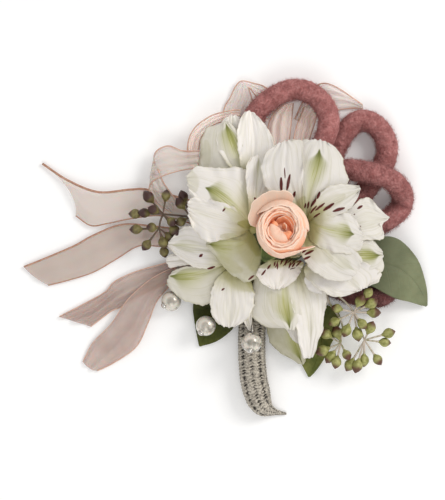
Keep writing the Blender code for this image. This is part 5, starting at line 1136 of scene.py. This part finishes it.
cloths = {key: organzaMaterial("organza_" + key + "_cloth", *cloth) for key, cloth in ribbonLook["cloths"].items()}
edgeMetals = {key: twoToneMaterial(key + "_edge", ribbonLook["edgeMottle"], tints, Roughness=0.42, Metallic=0.35)
              for key, tints in ribbonLook["edges"].items()}
for number, (name, lines) in enumerate(ribbonLines.items()):
    look = ribbonLook
    kind, edge, wireRadii, folds = ribbonKinds[name]
    surface = ribbonSurface(lines, folds, look["seed"] + number * 5)
    title = "".join(word.capitalize() if k else word for k, word in enumerate(name.split("_")))
    piece = newPiece()
    addSheet(piece, surface, look["thickness"])
    cloth = finishPiece(piece, title, cloths[kind], [name])
    piece = newPiece()
    for column, wire in zip((0, -1), wireRadii):
        addTube(piece, surface[:, column], wire, look["wireSides"])
    wires = finishPiece(piece, title + "Edges", edgeMetals[edge], [])
    # the sheet's length along its middle, its mean width, and its area
    down, over = np.diff(surface, axis=0), np.diff(surface, axis=1)
    steps = np.linalg.norm(down[:, look["columns"] // 2], axis=1).sum()
    width = np.linalg.norm(over, axis=2).sum(axis=1).mean()
    area = np.linalg.norm(np.cross(down[:, :-1], over[:-1]), axis=2).sum()
    share = area * mm / look["width"] / steps
    print(f"{title}: {width:.1f} wide, {steps:.1f} long, area share {share:.2f}")
print("ribbons made")


# Bow knot: gathers along a short roll, as a cosine round it that turns a little along it

knotLook = {
    "line": ((-9.5, 23, 6), (-9.3, 20, 6), (-9, 17, 6), (-8.7, 14, 6), (-8.4, 11, 6), (-8, 8, 6)),
    "radii": (2.6, 3.1, 2.5, 2.0, 2.6, 2.2), "gathers": 11, "depth": 0.1, "rings": 60, "sides": 72,
    "tints": (ribbonLook["cloths"]["blush"][0], ribbonLook["cloths"]["brown"][0]), "mottle": 1.5,
}

piece = newPiece()
look = knotLook
share = np.linspace(0, 1, look["rings"])[:, None]
radii = np.interp(share, np.linspace(0, 1, len(look["radii"])), look["radii"])
radii = radii * (1 + look["depth"] * np.cos(fullTurn(look["sides"])[None, :] * look["gathers"] + 3 * share))
addTube(piece, curveThrough(look["line"], look["rings"]), radii, look["sides"])
knotMaterial = twoToneMaterial("knot_cloth", look["mottle"], look["tints"], Roughness=0.55, Sheen_Weight=0.3)
finishPiece(piece, "bowKnotGathers", knotMaterial, ["bow_knot"])
print("knot made")


# Seeded sprays

sprayLook = {
    "seedLength": 6.3, "seedRadius": 2.15, "seedSizes": (0.9, 1.12), "seedRings": 26, "seedSides": 20,
    "profile": ((0, 0.1, 0.25, 0.42, 0.58, 0.66, 0.7, 0.85, 1), (0.24, 0.36, 0.78, 1, 1, 0.92, 0.86, 0.56, 0.06)),
    "corners": 0.05,
    "stalk": (0.3, 0.5), "stalkRings": 12, "stalkSides": 8, "stem": (0.48, 0.42), "stemRings": 60, "stemSides": 12,
    "seed": 700, "mottle": 2.2, "bare": {"along": 0.0, "seedy": 0.0, "ripe": 0.0},
    # side, slot, material, the seeds' two tints, the tip's, the stem's, and how early they ripen
    "kinds": {
        "seed_spray_left": (
            "Left", "seed_brown", "brown_seeds", colour(0.115, 0.085, 0.03), colour(0.235, 0.205, 0.065),
            colour(0.05, 0.016, 0.012), colour(0.13, 0.085, 0.06), 0.2),
        "seed_spray_right": (
            "Right", "seed_green", "green_seeds", colour(0.20, 0.205, 0.045), colour(0.44, 0.435, 0.16),
            colour(0.11, 0.042, 0.02), colour(0.56, 0.48, 0.40), 0.06)},
}
sprays = {
    "seed_spray_left": (
        (((7.6, 8.5, 10), (-2, 10.5, 11.2), (-16, 13, 11.7), (-28.6, 14.3, 12.4)),
         ((-28.6, 14.3, 12.4), (-29.8, 11, 12.6), (-30.4, 7.8, 12.2))),
        {(-28.6, 14.3, 12.4): ((-35.1, 22, 13.6), (-27.2, 22.6, 14.2), (-32.8, 16.1, 15.2), (-37, 14.8, 13),
                               (-41.2, 14.4, 11.4), (-24.7, 10.7, 15.6), (-23.4, 7, 13)),
         (-16, 13, 11.7): ((-19.4, 22.2, 12.6), (-20.6, 19, 14), (-20.4, 10.9, 13.6)),
         (-30.4, 7.8, 12.2): ((-40.8, 7.4, 11), (-33.6, 8.2, 15), (-36.2, 0.2, 9.6), (-28.5, 1.4, 10.4),
                              (-28.2, -2.8, 7.6), (-25.2, 3.9, 9.6))}),
    "seed_spray_right": (
        (((36, -8, 11.2), (40, -12.5, 13), (45, -19, 13.6), (51.8, -23.6, 13.4), (57.8, -30.2, 13.2),
          (62.9, -42.9, 10.4)),
         ((45, -19, 13.6), (47, -26, 12), (52.7, -35.5, 10.2), (52.2, -44.4, 8.6))),
        {(57.8, -30.2, 13.2): ((50.2, -28.4, 15.6), (60.6, -25, 16.2), (64.2, -21.4, 16), (65.8, -26.2, 14.4),
                               (67, -30.4, 12.4), (61.6, -35.4, 14.8), (54.4, -38.4, 15), (59.6, -40.2, 12.4),
                               (49, -34.5, 14.6)),
         (62.9, -42.9, 10.4): ((65.4, -37.2, 13), (73.8, -39.8, 10.6), (72.2, -44, 9), (56.4, -54.2, 8.8),
                               (59.6, -54.6, 10.6), (62.8, -52.2, 8.6), (68.9, -51.8, 10.4)),
         (52.2, -44.4, 8.6): ((45.3, -40.1, 10.8), (50.6, -39.6, 8.4), (44, -47.8, 9.4), (47.6, -50.7, 8),
                              (50.2, -53, 10), (54.8, -49.6, 11.4))}),
}


def sprayMaterial(name, dark, light, tip, stem, early):
    material, tree, shader = newMaterial(name, Roughness=0.5)
    coarse, fine = spotsOf(tree, sprayLook["mottle"])
    tint = turnTo(tree, dark, light, coarse, 0.3, 0.7)
    ripe = calc(tree, "MULTIPLY_ADD", attribute(tree, "ripe"), 0.5, -0.25)
    ripe = calc(tree, "ADD", attribute(tree, "along"), ripe)
    ripe = calc(tree, "ADD", ripe, calc(tree, "MULTIPLY_ADD", coarse, 0.4, -0.2))
    tint = turnTo(tree, tint, tip, ripe, 0.62 - early, 0.95 - early)
    tint = blend(tree, attribute(tree, "seedy"), turnTo(tree, stem, dark, coarse, 0.45, 0.75), tint)
    paint(tree, shader, tint, fine)
    return material


def addSeed(piece, fork, place, seed):
    # a capsule turned round the line from fork to place: the radius swells to two fifths of its length,
    # narrows to a ridge where the cap starts, and ends in a point
    look = sprayLook
    draw = np.random.default_rng(seed)
    away = unit(np.array(place) - np.array(fork, float))
    size = draw.uniform(*look["seedSizes"])
    t = np.linspace(0, 1, look["seedRings"])
    body = np.array(place, float) + np.outer((t - 0.5) * look["seedLength"] * size, away)
    square = 1 + look["corners"] * np.cos(4 * fullTurn(look["seedSides"])[None, :])
    radii = look["seedRadius"] * size * np.interp(t, *look["profile"])[:, None] * square
    addTube(piece, body, radii, look["seedSides"], along=t[:, None], seedy=1.0, ripe=draw.random())
    foot = body[0]
    if np.linalg.norm(foot - fork) > 0.6:
        bow = (foot + fork) / 2 + np.array((0, 0, 0.5))
        stalk = curveThrough((fork, bow, foot + away * 0.8), look["stalkRings"])
        addTube(piece, stalk, np.linspace(*look["stalk"], look["stalkRings"]), look["stalkSides"], **look["bare"])


for number, (name, (stems, forks)) in enumerate(sprays.items()):
    look = sprayLook
    piece = newPiece()
    for stem in stems:
        radii = np.linspace(*look["stem"], look["stemRings"])
        addTube(piece, curveThrough(stem, look["stemRings"]), radii, look["stemSides"], **look["bare"])
    seeds = [(fork, place) for fork, places in forks.items() for place in places]
    for count, (fork, place) in enumerate(seeds, 1):
        addSeed(piece, fork, place, look["seed"] + number * 50 + count)
    side, slot, *finish = look["kinds"][name]
    finishPiece(piece, "seededSpray" + side, sprayMaterial(*finish), [name])
print("sprays made")


# Pearls

pearlLook = {
    "radius": 4.6, "sides": 56, "ivory": colour(0.76, 0.71, 0.62), "dusk": colour(0.17, 0.15, 0.115), "mottle": 3.6,
    "capRadius": 1.5, "capLong": 1.1, "capRings": 14, "capSides": 24, "wire": 0.4, "wireRings": 50, "wireSides": 12,
    "silver": (colour(0.72, 0.70, 0.66), colour(0.45, 0.42, 0.38)), "silverMottle": 0.8,
}
# Each pearl's centre, the way its cap faces, and the line of its wire
pearls = {
    "1": (
        (-25, -25.4, 4.8),
        (-0.75, -0.45, 0.5),
        ((-20.6, -23.2, 4.6), (-10, -19, 2.4), (2, -9, 4), (8, -1.6, 6.2))),
    "2": (
        (-9.2, -36.5, 8),
        (-0.5, -0.7, 0.5),
        ((-5.2, -33.6, 7.4), (1, -28, 6.4), (5, -24, 6.2), (8.4, -21.6, 6.2))),
    "3": (
        (11.5, -43.9, 16.9),
        (-0.15, -0.8, 0.6),
        ((11.9, -39, 16.2), (12.2, -34, 13.6), (12.8, -29, 12), (13, -25, 11.8))),
}


def lustreMaterial():
    look = pearlLook
    material, tree, shader = newMaterial("pearl_lustre", Roughness=0.3, Coat_Weight=1.0, Coat_Roughness=0.04,
                                         Subsurface_Weight=0.15, Subsurface_Scale=0.001, Metallic=0.25)
    coarse = spotsOf(tree, look["mottle"])["Coarse"]
    # painted reflections: the coarse mottle gives dark patches, and the top of the pearl darkens
    tint = turnTo(tree, look["ivory"], look["dusk"], coarse, 0.46, 0.66, (0.0, 0.8))
    reflectionTop = ramp(tree, attribute(tree, "high"), 0.84, 0.97, (0.0, 0.7))
    reflectionTop = times(tree, reflectionTop, ramp(tree, coarse, 0.25, 0.55, (0.5, 1.0)))
    paint(tree, shader, blend(tree, reflectionTop, tint, look["dusk"]))
    return material


pearlMaterial = lustreMaterial()
silverMaterial = twoToneMaterial("silver_wire", pearlLook["silverMottle"], pearlLook["silver"], low=0.35, bump=(),
                                 Roughness=0.25, Metallic=1.0)
for number, (centre, facing, wire) in pearls.items():
    # a globe of rings at even angles from pole to pole, then a small dome on it and a wire
    look = pearlLook
    turn = np.linspace(0.02, math.pi - 0.02, look["sides"] // 2)
    line = np.array(centre) + np.outer(-np.cos(turn) * look["radius"], (0, 0, 1))
    piece = newPiece()
    addTube(piece, line, np.sin(turn) * look["radius"], look["sides"], high=-np.cos(turn)[:, None])
    finishPiece(piece, "pearl" + number, pearlMaterial, ["pearl_" + number])
    facing = unit(np.array(facing))
    foot = np.array(centre) + facing * (look["radius"] - 0.1)
    t = np.linspace(0, 1, look["capRings"])
    piece = newPiece()
    dome = look["capRadius"] * np.sqrt(1.02 - t ** 2)
    addTube(piece, foot + np.outer(t * look["capLong"], facing), dome, look["capSides"])
    addTube(piece, curveThrough(wire, look["wireRings"]), look["wire"], look["wireSides"])
    nodes = ["pearl_cap_" + number, "pearl_wire_" + number]
    finishPiece(piece, "pearlWire" + number, silverMaterial, nodes)
print("pearls made")


# Braid

braidLook = {
    "line": ((19, -2, 6.6), (14, -22, 6.2), (12, -36, 5.5), (11.8, -50, 5.4), (12.6, -60.4, 5.4), (13.8, -66, 5.4),
             (15.2, -70.6, 5), (17.4, -73.8, 4), (20.2, -75.5, 2.4), (23.4, -76.5, 1.2), (28, -77.2, 0.5)),
    "start": -33.0, "radius": 6.3, "rings": 520, "sides": 160,
    "taper": ((0.0, 0.615, 0.704, 0.778, 0.845, 0.912, 1.0), (1.0, 1.0, 0.93, 0.76, 0.46, 0.21, 0.08)),
    "columns": 9, "turned": 0.1, "faint": 2, "faintness": 0.45, "stitch": 1.3, "relief": 0.7,
    "champagne": colour(0.62, 0.565, 0.475), "pale": colour(0.27, 0.24, 0.20), "shadow": colour(0.05, 0.043, 0.036),
    "mottle": 0.9, "bump": (0.25, 0.8),
}


def braidSurface():
    # a tapering tube; its radius swells in knitted columns round it and in slanted stitches along them,
    # with a row of uneven pits between neighbouring columns, fainter on top
    look = braidLook
    line = curveThrough(look["line"], look["rings"] * 2)
    line = curveThrough(line[line[:, 1] < look["start"]][::10], look["rings"])
    share = np.linspace(0, 1, look["rings"])[:, None]
    long = np.linalg.norm(np.diff(line, axis=0), axis=1).sum() * share
    taper = np.interp(share, *look["taper"])
    place = (fullTurn(look["sides"])[None, :] - look["turned"]) * look["columns"] / (2 * math.pi)
    column = place % 1 - 0.5
    border = np.floor(place + 0.5)
    ridge = np.cos(math.pi * column) ** 0.8
    shift = 0.9 * wobble(long * 0.8, 7) + 1.7 * np.floor(place)
    stitches = 0.5 + 0.5 * np.cos(2 * math.pi * (long / look["stitch"] + 0.9 * np.abs(column)) + shift)
    knots = 0.5 + 0.5 * np.cos(2 * math.pi * long / (1.2 * look["stitch"]) + 5 * border + shift)
    pits = np.abs(column * 2) ** 2.4 * knots ** 0.7
    pits = pits * np.clip(0.8 + 1.1 * wobble(long * 1.9 + 3 * border, 11), 0, 1.3)
    pits = pits * np.where(border == look["faint"], look["faintness"], 1.0)
    relief = 0.55 * ridge + 0.4 * stitches - 0.8 * np.clip(pits, 0, 1)
    radii = look["radius"] * taper + look["relief"] * (relief - 0.75) * np.clip(taper * 1.2, 0.12, 1)
    rings = ringsAlong(line, radii, look["sides"])
    rings[..., 2] = np.maximum(rings[..., 2], 0.0)
    return rings, np.clip(1.25 * pits + 0.6 * (1 - stitches) * (1 - 0.4 * ridge), 0, 1)


def braidMaterial():
    look = braidLook
    material, tree, shader = newMaterial("champagne_braid", Roughness=0.38, Metallic=0.5)
    coarse, fine = spotsOf(tree, look["mottle"])
    tint = turnTo(tree, look["champagne"], look["pale"], coarse, 0.38, 0.66)
    pitted = calc(tree, "ADD", attribute(tree, "hollow"), ramp(tree, fine, 0.3, 0.7, (-0.2, 0.2)))
    paint(tree, shader, turnTo(tree, tint, look["shadow"], pitted, 0.3, 0.75), fine, *look["bump"])
    return material


rings, hollow = braidSurface()
piece = newPiece()
addRings(piece, rings, hollow=hollow)
finishPiece(piece, "wovenBraid", braidMaterial(), ["silver_braid"])
print("braid made")


# The taped stems keep their CAD shape and get a finish

tapeLook = {"mottle": 2.4, "stretch": (1.0, 0.25, 1.0), "bump": (0.3, 0.6),
            "tints": (colour(0.16, 0.22, 0.10), colour(0.26, 0.33, 0.17))}

tape = twoToneMaterial("floral_tape", tapeLook["mottle"], tapeLook["tints"], bump=tapeLook["bump"],
                       stretch=tapeLook["stretch"], Roughness=0.75)
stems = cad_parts["taped_stems"].data
stems.materials.clear()
stems.materials.append(tape)
print("tape finished")


# Table, light and camera

stageLook = {
    "floor": colour(0.96, 0.96, 0.96), "floorGlow": 0.08, "half": 3, "drop": 0.0002,
    "sky": colour(1.0, 0.995, 0.99), "skyLight": 0.66,
    "height": 1.0, "aim": (-1.6, -2.0), "lens": 156.8, "sensor": 36.0, "clip": (0.05, 20.0),
    # name, place, size, watts and tint of each lamp, and the place that they face
    "lamps": (("keyLamp", (0.66, 0.4, 0.66), 0.4, 4.0, (1.0, 0.985, 0.96)),
              ("fillLamp", (0.05, -0.6, 0.75), 0.5, 1.8, (1.0, 0.99, 0.97))),
    "lit": (0.0, 0.0, 0.02),
}

look = stageLook
half, floor = look["half"], -look["drop"]
mesh = bpy.data.meshes.new("table")
mesh.from_pydata([(-half, -half, floor), (half, -half, floor), (half, half, floor), (-half, half, floor)],
                 [], [(0, 1, 2, 3)])
table = newObject("table", mesh)
mesh.materials.append(newMaterial("table_white", Roughness=0.9, Specular_IOR_Level=0.1, Base_Color=look["floor"],
                                  Emission_Color=look["floor"], Emission_Strength=look["floorGlow"])[0])

scene = bpy.context.scene
scene.world = bpy.data.worlds.new("studio")
scene.world.use_nodes = True
sky = scene.world.node_tree.nodes["Background"].inputs
sky["Color"].default_value, sky["Strength"].default_value = look["sky"], look["skyLight"]

for name, place, size, watts, tint in look["lamps"]:
    lamp = bpy.data.lights.new(name, "AREA")
    lamp.size, lamp.energy, lamp.color = size, watts, tint
    item = newObject(name, lamp)
    item.location = place
    x, y, z = np.array(look["lit"]) - np.array(place)
    item.rotation_euler = (math.atan2(math.hypot(x, y), -z), 0.0, math.atan2(x, -y) + math.pi)

camera = bpy.data.cameras.new("photoCamera")
camera.lens, camera.sensor_width, camera.sensor_fit = look["lens"], look["sensor"], "AUTO"
camera.clip_start, camera.clip_end = look["clip"]
scene.camera = newObject("photoCamera", camera)
scene.camera.location = (look["aim"][0] * mm, look["aim"][1] * mm, look["height"])
scene.view_settings.view_transform = "Standard"
scene.view_settings.look = "None"
print("table, lamps and camera placed")
